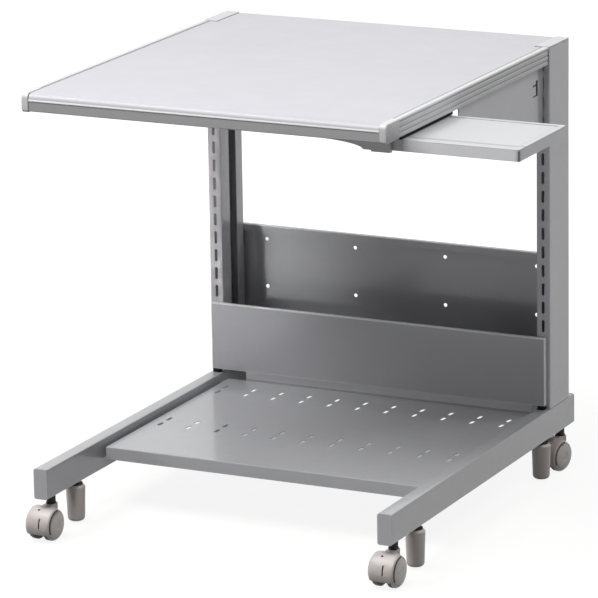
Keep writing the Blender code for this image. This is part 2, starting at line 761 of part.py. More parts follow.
def desk_board():
    front = -DESK_DEPTH / 2
    corners = [
        (front, BOARD_BOTTOM, BOARD_UNDER_ROUND),
        (BOARD_REAR, BOARD_BOTTOM, 0),
        (BOARD_REAR, BOARD_TOP, 0),
        (front, BOARD_TOP, BOARD_FRONT_ROUND),
    ]
    side_view = rounded(corners, ROUND_FACETS)
    mesh = prism("desk_board", [side_view], 2 * BOARD_HALF_WIDTH)
    board = place("desk_board", mesh, LAMINATE, rotation=ALONG_X)
    for side, sign in SIDES.items():
        edges = sorted((sign * BOARD_TONGUE_HALF_WIDTH, sign * DESK_WIDTH / 2))
        low = (edges[0], MOULDING_REAR, BOARD_BOTTOM - MOULDING_WIDTH)
        high = (edges[1], POST_REAR, DESK_HEIGHT + MOULDING_WIDTH)
        cut(board, box_tool(f"{side}_post_notch", low, high))
    sites = [site for sign in SIDES.values() for site in bracket_screw_sites(sign)]
    cut(board, drill("bracket_pilot_holes", sites, SCREW_RADIUS, BRACKET_SCREW_DEPTH))
    sites = [site for end in ENDS.values() for site in peg_sites(end)]
    cut(board, drill("runner_peg_holes", sites, PEG_RADIUS, PEG_LENGTH))

    half = BOARD_TONGUE_HALF_WIDTH
    low = (-half, BOARD_REAR + GAP, BOARD_BOTTOM)
    high = (half, BOARD_REAR + GAP + EDGE_BAND, BOARD_TOP)
    band, centre = box("rear_edge_band", low, high)
    place("rear_edge_band", band, EDGE_PLASTIC, centre)


def moulding_outline(sign):
    """Hollow edge moulding: ribbed outer face, rounded top that stands proud of the board."""
    outer, inner = sign * DESK_WIDTH / 2, sign * (DESK_WIDTH / 2 - MOULDING_WIDTH)
    floor = outer - sign * GROOVE_DEPTH
    corners = [(inner, BOARD_BOTTOM, 0), (outer, BOARD_BOTTOM, MOULDING_ROUND / 2)]
    middle = (BOARD_BOTTOM + DESK_HEIGHT) / 2
    for z in spread(GROOVE_COUNT, GROOVE_PITCH, middle):
        low, high = z - GROOVE_WIDTH / 2, z + GROOVE_WIDTH / 2
        corners += [
            (outer, low, 0),
            (floor, low + GROOVE_DEPTH, 0),
            (floor, high - GROOVE_DEPTH, 0),
            (outer, high, 0),
        ]
    corners += [(outer, DESK_HEIGHT, MOULDING_ROUND), (inner, DESK_HEIGHT, MOULDING_LIP / 2)]
    return rounded(corners, BEND_FACETS + 1)


def mouldings():
    front = -DESK_DEPTH / 2 + CORNER_CAP_LENGTH + GAP
    middle_y = (front + MOULDING_REAR) / 2
    middle_z = (BOARD_BOTTOM + DESK_HEIGHT) / 2
    radius = MOULDING_HEIGHT / 2
    cap_rear = -DESK_DEPTH / 2 + CORNER_CAP_LENGTH
    bow = (-DESK_DEPTH / 2 + radius, middle_z)
    nose = arc(bow, (radius, radius), math.radians(90), math.radians(270), 2 * ROUND_FACETS)
    side_view = [(cap_rear, DESK_HEIGHT), *nose, (cap_rear, BOARD_BOTTOM)]
    for side, sign in SIDES.items():
        x = sign * (DESK_WIDTH / 2 - MOULDING_WIDTH / 2)
        hollow = (MOULDING_WIDTH - 2 * MOULDING_WALL, MOULDING_HEIGHT - 2 * MOULDING_WALL)
        core = rectangle((x, middle_z), *hollow)
        strip = prism(f"{side}_moulding", [moulding_outline(sign), core], MOULDING_REAR - front)
        place(f"{side}_moulding", strip, EDGE_PLASTIC, (0, middle_y, 0), ALONG_Y)
        cap = prism(f"{side}_corner_cap", [side_view], MOULDING_WIDTH)
        bevel(
            place(f"{side}_corner_cap", cap, EDGE_PLASTIC, (x, 0, 0), ALONG_X), CORNER_CAP_EDGE
        )


def bracket_outline():
    """Side view of a bracket: straight top, sloping underside, hooks up the rear edge."""
    corners = [
        (BRACKET_REAR, BRACKET_TOP, 0),
        (BRACKET_FRONT, BRACKET_TOP, 0),
        (BRACKET_FRONT, BRACKET_TOP - BRACKET_FRONT_HEIGHT, BRACKET_CORNER),
        (BRACKET_REAR, BRACKET_TOP - BRACKET_REAR_HEIGHT, 0),
    ]
    inside = POST_FRONT + POST_WALL + GAP
    for middle in slot_heights():
        seat = middle - SLOT_LENGTH / 2 + GAP
        fits_below = seat - HOOK_MARGIN >= BRACKET_TOP - BRACKET_REAR_HEIGHT
        fits_above = seat + HOOK_NECK + HOOK_MARGIN <= BRACKET_TOP
        if fits_below and fits_above:
            corners += [
                (BRACKET_REAR, seat, 0),
                (inside, seat, 0),
                (inside, seat - HOOK_TAIL, 0),
                (inside + HOOK_THICKNESS, seat - HOOK_TAIL, 0),
                (inside + HOOK_THICKNESS, seat + HOOK_NECK, HOOK_THICKNESS / 2),
                (BRACKET_REAR, seat + HOOK_NECK, 0),
            ]
    return rounded(corners)


def lock_slot_outline():
    """Slot of the safety catch: an upright with a short arm near its head and a thin foot."""
    rear = BRACKET_REAR - LOCK_SLOT_REAR_INSET
    front = rear - LOCK_SLOT_WIDTH
    tip = front - LOCK_SLOT_ARM
    top = BRACKET_TOP - LOCK_SLOT_TOP_INSET
    low = top - LOCK_SLOT_HEIGHT
    arm_top = top - LOCK_SLOT_ARM_DROP
    arm_low = arm_top - LOCK_SLOT_ARM_HEIGHT
    foot_top = low + LOCK_SLOT_FOOT_HEIGHT
    return [
        (rear, low),
        (rear, top),
        (front, top),
        (front, arm_top),
        (tip, arm_top),
        (tip, arm_low),
        (front, arm_low),
        (front, foot_top),
        (tip, foot_top),
        (tip, low),
    ]


def brackets():
    screw = screw_mesh("bracket_screw", BRACKET_SCREW_DEPTH)
    for side, sign in SIDES.items():
        plate = prism(f"{side}_desk_bracket", [bracket_outline(), lock_slot_outline()], BRACKET_WALL)
        x = sign * RAIL_CENTRE_X
        bracket = place(f"{side}_desk_bracket", plate, SILVER_PAINT, (x, 0, 0), ALONG_X)
        edges = sorted((x, x - sign * (BRACKET_FLANGE + BRACKET_WALL / 2)))
        low = (edges[0], BRACKET_FRONT + GAP, BRACKET_TOP - BRACKET_WALL)
        high = (edges[1], BRACKET_REAR - HOOK_MARGIN, BRACKET_TOP - GAP / 2)
        join(bracket, box_tool(f"{side}_bracket_flange", low, high))
        # A pad on the inside closes the slot of the safety catch.
        slot = lock_slot_outline()
        inner = x - sign * (BRACKET_WALL / 2 - GAP / 2)
        edges = sorted((inner, inner - sign * LOCK_PAD))
        ends = [min(y for y, _ in slot) - LOCK_PAD_MARGIN, max(y for y, _ in slot) + LOCK_PAD_MARGIN]
        heights = [min(z for _, z in slot) - LOCK_PAD_MARGIN, max(z for _, z in slot) + LOCK_PAD_MARGIN]
        pad = box_tool(f"{side}_lock_pad", (edges[0], ends[0], heights[0]), (edges[1], ends[1], heights[1]))
        join(bracket, pad)
        sites = bracket_screw_sites(sign)
        cut(bracket, drill(f"{side}_flange_holes", sites, SCREW_RADIUS, BRACKET_SCREW_DEPTH))
        for end_name, site in zip(ENDS, sites):
            place_screw(f"{end_name}_{side}_bracket_screw", screw, site)


def mouse_tray():
    slide = new_empty("tray_slide", ROOT, (TRAY_LEFT, TRAY_MIDDLE_Y, TRAY_TOP))
    half_depth = TRAY_DEPTH / 2
    # The tray's own frame starts at the middle of its inner edge, on its top.
    corners = [
        (0, -half_depth, 0),
        (TRAY_LENGTH, -half_depth, TRAY_CORNER),
        (TRAY_LENGTH, half_depth, TRAY_CORNER),
        (0, half_depth, 0),
    ]
    slab = prism("mouse_tray", [rounded(corners, BEND_FACETS + 1)], TRAY_THICKNESS)
    tray = place("mouse_tray", slab, TRAY_PLASTIC, (0, 0, -TRAY_THICKNESS / 2), parent=slide)
    bevel(tray, TRAY_EDGE, 1)
    field_left = DESK_WIDTH / 2 - TRAY_LEFT
    mesh, centre = box(
        "tray_field",
        (field_left, -half_depth + TRAY_RIM, -TRAY_RECESS),
        (TRAY_LENGTH - TRAY_RIM, half_depth - TRAY_RIM, TRAY_RECESS),
    )
    cut(tray, tool("tray_field", mesh, centre, parent=slide))
    mesh, centre = box(
        "tray_strip_notch",
        (TRAY_LENGTH - TRAY_STRIP, -half_depth - TRAY_STRIP, -TRAY_THICKNESS - TRAY_STRIP),
        (TRAY_LENGTH + TRAY_STRIP, -half_depth + TRAY_STRIP, TRAY_STRIP),
    )
    cut(tray, tool("tray_strip_notch", mesh, centre, parent=slide))

    strip_corners = [
        (TRAY_LENGTH - TRAY_STRIP + GAP, -half_depth, 0),
        (TRAY_LENGTH, -half_depth, TRAY_CORNER),
        (TRAY_LENGTH, -half_depth + TRAY_STRIP - GAP, 0),
        (TRAY_LENGTH - TRAY_STRIP + GAP, -half_depth + TRAY_STRIP - GAP, 0),
    ]
    strip = prism("tray_corner_strip", [rounded(strip_corners, BEND_FACETS + 1)], TRAY_THICKNESS)
    place("tray_corner_strip", strip, DARK_PLASTIC, (0, 0, -TRAY_THICKNESS / 2), parent=slide)

    half = RUNNER_INNER_Y + PLATE_ENGAGEMENT
    mesh, centre = box(
        "tray_slide_plate",
        (PLATE_LEFT - TRAY_LEFT, -half, PLATE_BOTTOM - TRAY_TOP),
        (PLATE_RIGHT - TRAY_LEFT, half, PLATE_TOP - TRAY_TOP),
    )
    plate = place("tray_slide_plate", mesh, ZINC, centre, parent=slide)

    origin = Vector(slide.location)
    sites = [(Vector(point) - origin, axis) for point, axis in tray_screw_sites()]
    holes = drill("tray_screw_holes", sites, SCREW_RADIUS, TRAY_SCREW_DEPTH, slide)
    cut(tray, holes)
    cut(plate, holes)
    screw = screw_mesh("tray_screw", TRAY_SCREW_DEPTH)
    for end_name, site in zip(ENDS, sites):
        place_screw(f"{end_name}_tray_screw", screw, site, slide)


def runner_outline():
    """Side view of a runner: shallow rail that sweeps down to a rib and a block at the desk's edge."""
    shallow = RUNNER_TOP - RUNNER_DEPTH
    block_low = RUNNER_TOP - RUNNER_BLOCK_DEPTH
    rib_low = block_low + RUNNER_RIB_STEP
    block_left = RUNNER_RIGHT - RUNNER_BLOCK_LENGTH
    rib_left = block_left - RUNNER_RIB_LENGTH
    drop = shallow - rib_low
    sweep_centre = (rib_left - RUNNER_CURVE_LENGTH, rib_low)
    sweep = arc(
        sweep_centre, (RUNNER_CURVE_LENGTH, drop), math.radians(90), math.radians(8), CURVE_FACETS
    )
    return [
        (RUNNER_RIGHT, RUNNER_TOP),
        (RUNNER_LEFT, RUNNER_TOP),
        (RUNNER_LEFT, shallow),
        *sweep,
        (rib_left, rib_low),
        (block_left, rib_low),
        (block_left, block_low),
        (RUNNER_RIGHT, block_low),
    ]


def runners():
    for end_name, end in ENDS.items():
        name = f"{end_name}_tray_runner"
        y = TRAY_MIDDLE_Y + end * (RUNNER_INNER_Y + RUNNER_CHEEK / 2)
        cheek = prism(name, [runner_outline()], RUNNER_CHEEK)
        runner = place(name, cheek, EDGE_PLASTIC, (0, y, 0), ALONG_Y)

        outer = TRAY_MIDDLE_Y + end * RUNNER_OUTER_Y
        edges = sorted((outer - end * RUNNER_CHEEK / 2, outer + end * RUNNER_FLANGE))
        low = (RUNNER_LEFT + GAP, edges[0], RUNNER_TOP - RUNNER_FLANGE_THICKNESS)
        high = (RUNNER_RIGHT - RUNNER_FLANGE_INSET, edges[1], RUNNER_TOP - GAP / 2)
        join(runner, box_tool(f"{name}_flange", low, high))

        inner = TRAY_MIDDLE_Y + end * RUNNER_INNER_Y
        bottom = inner + end * (PLATE_ENGAGEMENT + RUNNER_SLOT_GAP)
        edges = sorted((inner - end * RUNNER_CHEEK, bottom))
        low = (RUNNER_LEFT - RUNNER_END_MARGIN, edges[0], PLATE_BOTTOM - RUNNER_SLOT_GAP)
        high = (RUNNER_RIGHT + RUNNER_END_MARGIN, edges[1], PLATE_TOP + RUNNER_SLOT_GAP)
        cut(runner, box_tool(f"{name}_slot", low, high))
        peg = [(0, RUNNER_FLANGE_THICKNESS / 2), (PEG_RADIUS, RUNNER_FLANGE_THICKNESS / 2)]
        peg += [(PEG_RADIUS, -PEG_LENGTH), (0, -PEG_LENGTH)]
        pegs = copies(
            f"{name}_pegs",
            turned(f"{name}_peg", peg, HOLE_FACETS),
            [aimed(*site) for site in peg_sites(end)],
        )
        join(runner, tool(f"{name}_pegs", pegs))


def stem_mesh():
    """Turned stem about the swivel axis, with its heights above the floor."""
    flange_low = HOOD_TOP + GAP
    flange_high = flange_low + STEM_FLANGE
    neck_high = flange_high + STEM_NECK
    top = RAIL_BOTTOM + STEM_UPPER_PIN
    edge = STEM_FLANGE / 3
    profile = [
        (0, top),
        (STEM_UPPER_PIN_RADIUS, top),
        (STEM_UPPER_PIN_RADIUS, neck_high),
        (STEM_NECK_RADIUS, neck_high),
        (STEM_NECK_RADIUS, flange_high),
        (STEM_FLANGE_RADIUS - edge, flange_high),
        (STEM_FLANGE_RADIUS, flange_high - edge),
        (STEM_FLANGE_RADIUS, flange_low),
        (STEM_LOWER_PIN_RADIUS, flange_low),
        (STEM_LOWER_PIN_RADIUS, HOOD_TOP - HOOD_STEM_DEPTH),
        (0, HOOD_TOP - HOOD_STEM_DEPTH),
    ]
    return turned("caster_stem", profile, STUD_FACETS)


def wheel_mesh():
    """Wheel about Z, its inner face at 0 and its covered outer face at the width."""
    bore = AXLE_RADIUS + GAP
    bore_end = WHEEL_WIDTH - AXLE_END_COVER
    profile = [
        (0, WHEEL_WIDTH),
        (WHEEL_RADIUS - 1.6 * WHEEL_EDGE, WHEEL_WIDTH),
        (WHEEL_RADIUS - 0.4 * WHEEL_EDGE, WHEEL_WIDTH - 0.4 * WHEEL_EDGE),
        (WHEEL_RADIUS, WHEEL_WIDTH - WHEEL_EDGE),
        (WHEEL_RADIUS, 0),
        (bore, 0),
        (bore, bore_end),
        (0, bore_end),
    ]
    return turned("caster_wheel", profile, WHEEL_FACETS)


def fender_ring(name):
    """Full ring about Z that clears both treads, with its shell rounded down at the sides."""
    bend = (FENDER_RADIUS - FENDER_ROUND, CASTER_HALF_WIDTH - FENDER_ROUND)
    inside = FENDER_ROUND - FENDER_WALL
    outer = arc(bend, (FENDER_ROUND, FENDER_ROUND), 0, FENDER_ROUND_ANGLE, BEND_FACETS)
    inner = arc(bend, (inside, inside), 0, FENDER_ROUND_ANGLE, BEND_FACETS)
    half = [*inner, *reversed(outer)]
    section = half + [(radius, -across) for radius, across in reversed(half)]
    return turned(name, section + section[:1], WHEEL_FACETS)


def caster_housing(name, swivel):
    """Hood over both wheels: a curved fender on a central web that takes the axle and the stem."""
    axle = (0, -CASTER_TRAIL, WHEEL_RADIUS)
    lying = (0, math.radians(90), 0)
    hood = place(name, fender_ring(name), BEIGE_PLASTIC, axle, lying, swivel)
    reach = (2 * FENDER_RADIUS, 2 * FENDER_RADIUS)
    sector = [(0, 0), *arc((0, 0), reach, FENDER_REAR_ANGLE, FENDER_FRONT_ANGLE, ROUND_FACETS)]
    wedge = prism(f"{name}_sector", [sector], 4 * CASTER_HALF_WIDTH)
    keep(hood, tool(f"{name}_sector", wedge, axle, ALONG_X, swivel))

    backbone = FENDER_RADIUS - FENDER_WALL / 2
    stem_front = CASTER_TRAIL - STEM_LOWER_PIN_RADIUS - HOOD_STEM_WALL
    stem_rear = CASTER_TRAIL + STEM_LOWER_PIN_RADIUS + HOOD_STEM_WALL
    stem_low = FENDER_RADIUS - HOOD_STEM_DEPTH
    hub_start = math.radians(270)
    hub_end = math.radians(300)
    web = arc((0, 0), (backbone, backbone), math.radians(90), FENDER_FRONT_ANGLE, FENDER_FACETS)
    web += arc((0, 0), (HOOD_HUB_RADIUS, HOOD_HUB_RADIUS), hub_start, hub_end, 2)
    web += [
        (stem_front, stem_low),
        (stem_rear, stem_low),
        (stem_rear, FENDER_RADIUS),
        (stem_front - STEM_FLANGE_RADIUS / 2, FENDER_RADIUS),
    ]
    join(hood, tool(f"{name}_web", prism(name, [web], CASTER_WEB), axle, ALONG_X, swivel))

    stem_site = [((0, 0, HOOD_TOP), (0, 0, -1))]
    depth = HOOD_STEM_DEPTH + HOOD_HUB_RADIUS
    cut(hood, drill(f"{name}_stem_bore", stem_site, STEM_LOWER_PIN_RADIUS, depth, swivel))
    bore_start = (CASTER_WEB / 2 + GAP, -CASTER_TRAIL, WHEEL_RADIUS)
    bore_site = [(bore_start, (-1, 0, 0))]
    depth = 2 * CASTER_HALF_WIDTH
    cut(hood, drill(f"{name}_axle_bore", bore_site, AXLE_RADIUS, depth, swivel))

    half, head = HOOD_SLIT_WIDTH / 2, HOOD_SLIT_HEAD / 2
    low, high = -HOOD_SLIT_LENGTH / 2, HOOD_SLIT_LENGTH / 2
    neck = high - HOOD_SLIT_HEAD
    slit = [(-half, low), (half, low), (half, neck), (head, high), (-head, high), (-half, neck)]
    slit_tool = prism(f"{name}_slit", [slit], 2 * HOOD_SLIT_DEPTH)
    front = (HOOD_SLIT_OFFSET, -CASTER_TRAIL - FENDER_RADIUS, WHEEL_RADIUS + HOOD_SLIT_ABOVE_AXLE)
    cut(hood, tool(f"{name}_slit", slit_tool, front, ALONG_Y, swivel))
    across = Vector((0, math.cos(HOOD_HOLE_ANGLE), math.sin(HOOD_HOLE_ANGLE)))
    point = Vector(axle) + across * FENDER_RADIUS + Vector((HOOD_HOLE_OFFSET, 0, 0))
    hole = drill(f"{name}_hole", [(point, -across)], HOOD_HOLE_RADIUS, HOOD_SLIT_DEPTH, swivel)
    cut(hood, hole)


def casters():
    stem = stem_mesh()
    wheel = wheel_mesh()
    stub = WHEEL_WIDTH - AXLE_END_COVER - GAP
    half = CASTER_WEB / 2 + WHEEL_SIDE_GAP + stub
    pin = turned("caster_axle", [(0, half), (AXLE_RADIUS, half), (AXLE_RADIUS, -half), (0, -half)], 12)
    for end_name, end in ENDS.items():
        turn = FRONT_CASTER_TURN if end_name == "front" else REAR_CASTER_TURN
        for side, sign in SIDES.items():
            name = f"{end_name}_{side}_caster"
            here = (sign * RAIL_CENTRE_X, end * CASTER_Y, 0)
            place(f"{name}_stem", stem, BLACK_STEEL, here)
            swivel = new_empty(f"{name}_swivel", ROOT, here, turn)
            caster_housing(f"{name}_housing", swivel)
            axle = (0, -CASTER_TRAIL, WHEEL_RADIUS)
            lying = (0, math.radians(90), 0)
            place(f"{name}_axle", pin, ZINC, axle, lying, swivel)
            for wheel_side, way in SIDES.items():
                inner_face = way * (CASTER_WEB / 2 + WHEEL_SIDE_GAP)
                spot = (inner_face, -CASTER_TRAIL, WHEEL_RADIUS)
                facing = (0, way * math.radians(90), 0)
                place(f"{name}_{wheel_side}_wheel", wheel, BEIGE_PLASTIC, spot, facing, swivel)


def foot_mesh():
    """Foot about its axis, its heights above the floor."""
    low, high = LEG_FLOOR_GAP, LEG_FLOOR_GAP + LEG_HEIGHT
    bore = STUD_RADIUS + GAP
    bore_end = high - STUD_IN_FOOT - GAP
    base = LEG_RADIUS - LEG_TAPER
    toe = arc(
        (base - LEG_ROUND, low + LEG_ROUND), (LEG_ROUND, LEG_ROUND), 0, math.radians(-90), 3
    )
    profile = [
        (0, bore_end),
        (bore, bore_end),
        (bore, high),
        (LEG_RADIUS - LEG_SHOULDER, high),
        (LEG_RADIUS, high - LEG_SHOULDER_HEIGHT),
        *toe,
        (0, low),
    ]
    return turned("levelling_foot", profile, TURNED_FACETS)


def stud_mesh():
    """Stud from inside the foot to inside the rail, its heights above the floor."""
    low = LEG_FLOOR_GAP + LEG_HEIGHT - STUD_IN_FOOT
    top = RAIL_BOTTOM + STUD_IN_RAIL
    edge = STUD_RADIUS / 5
    profile = [
        (0, top),
        (STUD_RADIUS - edge, top),
        (STUD_RADIUS, top - edge),
        (STUD_RADIUS, low),
        (0, low),
    ]
    return turned("leg_stud", profile, STUD_FACETS)


def levelling_legs():
    foot = foot_mesh()
    stud = stud_mesh()
    for end_name, end in ENDS.items():
        for side, sign in SIDES.items():
            name = f"{end_name}_{side}_leg"
            axis = new_empty(f"{name}_axis", ROOT, (sign * RAIL_CENTRE_X, end * LEG_Y, 0))
            place(f"{name}_foot", foot, BEIGE_PLASTIC, parent=axis)
            place(f"{name}_stud", stud, BLACK_STEEL, parent=axis)


def centre_on_floor():
    """Moves the whole desk so that the middle of its box stands over the origin."""
    bpy.context.view_layer.update()
    graph = bpy.context.evaluated_depsgraph_get()
    points = []
    for piece in PARTS.objects:
        if piece.type == "MESH":
            shown = piece.evaluated_get(graph)
            points += [shown.matrix_world @ vertex.co for vertex in shown.data.vertices]
    for axis in range(2):
        values = [point[axis] for point in points]
        ROOT.location[axis] -= (min(values) + max(values)) / 2
    bpy.context.view_layer.update()


base_rails()
posts()
panels()
shelf()
desk_board()
mouldings()
brackets()
mouse_tray()
runners()
casters()
levelling_legs()
centre_on_floor()
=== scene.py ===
"""Looks of the computer desk: finishes, turned details, floor, light and the photograph's camera."""

import json
import math
from collections import namedtuple

import bmesh
import bpy
from mathutils import Matrix, Vector


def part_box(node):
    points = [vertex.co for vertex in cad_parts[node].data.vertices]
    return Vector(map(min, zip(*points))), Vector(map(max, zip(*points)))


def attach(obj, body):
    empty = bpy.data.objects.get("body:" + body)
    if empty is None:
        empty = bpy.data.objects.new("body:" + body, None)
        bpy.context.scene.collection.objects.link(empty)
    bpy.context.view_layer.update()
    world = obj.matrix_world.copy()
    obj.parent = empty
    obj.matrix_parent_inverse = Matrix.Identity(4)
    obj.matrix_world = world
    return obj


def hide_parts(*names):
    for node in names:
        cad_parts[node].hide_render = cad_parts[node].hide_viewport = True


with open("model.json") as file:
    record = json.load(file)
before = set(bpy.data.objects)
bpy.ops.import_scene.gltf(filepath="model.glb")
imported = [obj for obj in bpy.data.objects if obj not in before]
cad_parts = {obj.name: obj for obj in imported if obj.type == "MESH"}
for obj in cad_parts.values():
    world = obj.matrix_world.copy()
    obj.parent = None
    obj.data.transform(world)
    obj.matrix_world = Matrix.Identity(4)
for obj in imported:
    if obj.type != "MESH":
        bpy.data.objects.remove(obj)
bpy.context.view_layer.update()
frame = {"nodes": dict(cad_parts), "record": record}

# Nodes, slots and joint axes from the frame, names in it, and the way along X to each side.
NODES = frame["nodes"]
SLOTS = {part["node"]: part["material_slot"] for part in frame["record"]["subparts"]}
SIDES = ("left", "right")
SIDE_WAYS = (("left", -1), ("right", 1))
ENDS = ("front", "rear")
CORNERS = [f"{end}_{side}" for end in ENDS for side in SIDES]
SPIN_AXES = {joint["child"]: joint["axis"] for joint in frame["record"]["behaviour"]["joints"]}
X, Y, Z = range(3)
QUARTER = math.pi / 2

# Photograph and camera, in the desk's own frame: X from its middle, Y from the middle of the rails.
IMAGE_PIXELS = 598
FOCAL_PIXELS = 4384.01
SENSOR_WIDTH = 36.0
CAMERA_PLACE = Vector((2.8851, -5.9047, 2.0607))
CAMERA_YAW = math.radians(26.170)
CAMERA_PITCH = math.radians(14.778)
CAMERA_ROLL = math.radians(-0.960)
CAMERA_REACH = 100

# Boxes of the rails, and the middle of the desk on the floor.
RAILS = {side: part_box(f"{side}_base_rail") for side in SIDES}
MIDDLE = Vector((
    (RAILS["left"][0].x + RAILS["right"][1].x) / 2,
    (RAILS["left"][0].y + RAILS["left"][1].y) / 2,
    0.0,
))

# Floor, surround and lamps.
FLOOR_HALF_SIZE = 30.0
FLOOR_DROP = 0.0002
FLOOR_COLOUR = (0.15, 0.15, 0.145, 1)
FLOOR_LIFT = 0.89
FLOOR_NEAR = 0.5
FLOOR_FAR = 2.0
WORLD_LIGHT = 0.04
WORLD_TINT = (1.0, 0.96, 0.87, 1)
WHITE = (1, 1, 1, 1)
DESK_HEART = (0, 0, 0.45)

# Desktop's front edge: heights of its bands above the floor, with its bright line a painted highlight,
# its bead, and the raw sides of the board.
BOARD_LOW, BOARD_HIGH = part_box("desk_board")
EDGE_FACE_TOP = BOARD_LOW.z + 0.0155
EDGE_LINE_TOP = EDGE_FACE_TOP + 0.0028
EDGE_BAND_TOP = EDGE_LINE_TOP + 0.0052
EDGE_DEPTH = 0.0120
EDGE_FADE = 0.0010
EDGE_BLEND = 0.0004
BEAD_PROUD = 0.0009
BEAD_TOP_SHARE = 0.3
BEAD_TOP_DROP = 0.0001
BEAD_CREST_DROP = 0.0013
BEAD_CREST_RISE = 0.0004
BEAD_FOOT_SHARE = 0.7
RAW_SIDE_START = 0.0002
RAW_SIDE_FULL = 0.0001

# Mouldings and their corner caps, with the numbers of their finishes.
RIB, GROOVE, ROLL, BAND, SEAM = range(5)
MOULDING_ROLL = 0.0024
MOULDING_TOP_BAND = 0.0050
MOULDING_CHAMFER = 0.0024
MOULDING_LIP = 0.0018
MOULDING_REAR_GAP = 0.0025
MOULDING_FOOT_ROUND = 0.0015
GROOVE_HEIGHTS = (0.0070, 0.0150, 0.0230)
GROOVE_HALF_WIDTH = 0.0021
GROOVE_DEPTH = 0.0009
CAP_PROUD = 0.0014
CAP_BELOW = 0.0015
CAP_TOP_ROUND = 0.0080
CAP_FOOT_ROUND = 0.0045
CAP_FACE_TOP_ROUND = 0.0190
CAP_FACE_FOOT_ROUND = 0.0075
CAP_RIM = 0.0022
CAP_RIM_STEPS = ((1, 0), (0.6, 0.1), (0.25, 0.4), (0, 1))
CAP_EDGE = 0.0008

# Shelf: its holes and rear fold, and the stiffening channel under its front holes.
SHELF_LOW, SHELF_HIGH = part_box("shelf")
SHELF_TOP = SHELF_LOW.z + 0.0200
SHELF_WALL = 0.0012
SLOT_FIRST = -0.2500
SLOT_PITCH = 0.0500
SLOT_FRONT_ROWS = (0.1446, 0.1746)
SLOT_REAR_ROWS = (0.3446, 0.3746)
SLOT_REACH = 0.0090
SLOT_STRETCH = Vector((1.12, 1.35))
REAR_FOLD_RISE = 0.0095
CHANNEL_START = -0.1246
CHANNEL_END_GAP = 0.0090
CHANNEL_HALF_DEPTH = 0.0385
CHANNEL_HEIGHT = 0.0130
CHANNEL_WALL = 0.0012
CHANNEL_GAP = 0.0003

# Tray: its rim with a line of painted shade, its pale edge, partly painted light, and the line in its
# corner strip.
TRAY_LOW, TRAY_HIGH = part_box("mouse_tray")
TRAY_EDGE_TOP = TRAY_HIGH.z - 0.0014
TRAY_EDGE_BLEND = 0.0004
TRAY_RIM = 0.0095
TRAY_RIM_LINE = 0.0012
TRAY_RIM_BLEND = 0.0006
TRAY_FRONT_RIM = 0.0220
TRAY_FRONT_LINE = 0.0040
TRAY_FRONT_BLEND = 0.0010
STRIP_LOW, STRIP_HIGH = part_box("tray_corner_strip")
STRIP_LINE_SHARES = (0.26, 0.68)
STRIP_LINE_DROP = 0.0010

# Black felt strip under the right moulding, which closes the slot over the tray, and whose black also
# paints the shade in it.
FELT_CLEARANCE = 0.0005
FELT_INSET = 0.0010
FELT_THICKNESS = 0.0060
FELT_OVERHANG = 0.0030
FELT_ROUND = 0.0008

# Black pads between the front panel's foot and the rails, which paint the shade in the gap there.
FRONT_PANEL_LOW, FRONT_PANEL_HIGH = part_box("front_panel")
PAD_GAP = 0.0003
PAD_WIDTH = 0.0115
PAD_INSET = 0.0012
PAD_FRONT = 0.0014
PAD_ROUND = 0.0006

# Safety-catch slot in the brackets: its depth range below their outer face, and its place.
BRACKET_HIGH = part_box("right_desk_bracket")[1]
CATCH_DEPTHS = (0.0003, 0.0021)
CATCH_FROM_REAR = (0.0267, 0.0457)
CATCH_FROM_TOP = (0.0205, 0.0455)
CATCH_BLEND = 0.0001

# Folded sheets: the bands along their edges with a painted highlight, where the coat is lighter.
EDGE_HIGHLIGHT = 0.0016
EDGE_HIGHLIGHT_BLEND = 0.0003
UPSTAND_HIGHLIGHT_START = 0.0030

# Caster hoods: where the shadow under their skin and at their rims begins.
HOOD_SKIN = 0.0273
HOOD_SKIN_BLEND = 0.0003
HOOD_MIDDLE = 0.0068
HOOD_RIM = 0.0203
HOOD_SIDE_BLEND = 0.0004

# Wheels, feet, stems and studs, turned smoother than the solids that they stand for.
WHEEL_RADIUS = 0.0250
WHEEL_WIDTH = 0.0148
WHEEL_EDGE = 0.0075
WHEEL_FLAT_SHARE = 1.6
WHEEL_BEND_SHARE = 0.4
WHEEL_RIM_SHARE = 0.7
WHEEL_SHOULDER_SHARES = (0.12, 0.72)
WHEEL_OFFSET = 0.01525
WHEEL_TREAD_LIP = 0.0010
WHEEL_HUB_RADIUS = 0.0062
WHEEL_GROOVE = 0.0006
AXLE_BORE = 0.0033
AXLE_COVER = 0.0030
FOOT_RADIUS = 0.0152
FOOT_TAPER = 0.0016
FOOT_SHOULDER = 0.0030
FOOT_SHOULDER_HEIGHT = 0.0045
FOOT_TOE = 0.0060
FOOT_BORE = 0.0053
FOOT_BORE_DEPTH = 0.0243
FOOT_NUT = 0.0026
FOOT_NUT_INSET = 0.0008
STUD_RADIUS = 0.0050
STUD_SEGMENTS = 32
THREAD_PITCH = 0.0015
THREAD_DEPTH = 0.0006
THREAD_START = 0.75
STEM_PIN_RADIUS = 0.0055
STEM_PIN = 0.0320
STEM_NECK_RADIUS = 0.0070
STEM_NECK = 0.0114
STEM_FLANGE_RADIUS = 0.0080
STEM_FLANGE = 0.0022
STEM_LOWER_RADIUS = 0.0040
STEM_EDGE = 0.0006
STEM_SEGMENTS = 40
TURNED_SEGMENTS = 64

# Numbers of the finishes on a piece with one or two of them.
FIRST, SECOND = range(2)

# Shading: edges sharper than an angle stay hard, and points closer than a distance are one.
HARD_ANGLE = math.radians(34)
WELD_DISTANCE = 1e-6
FLAT_FACE_WEIGHT = 100

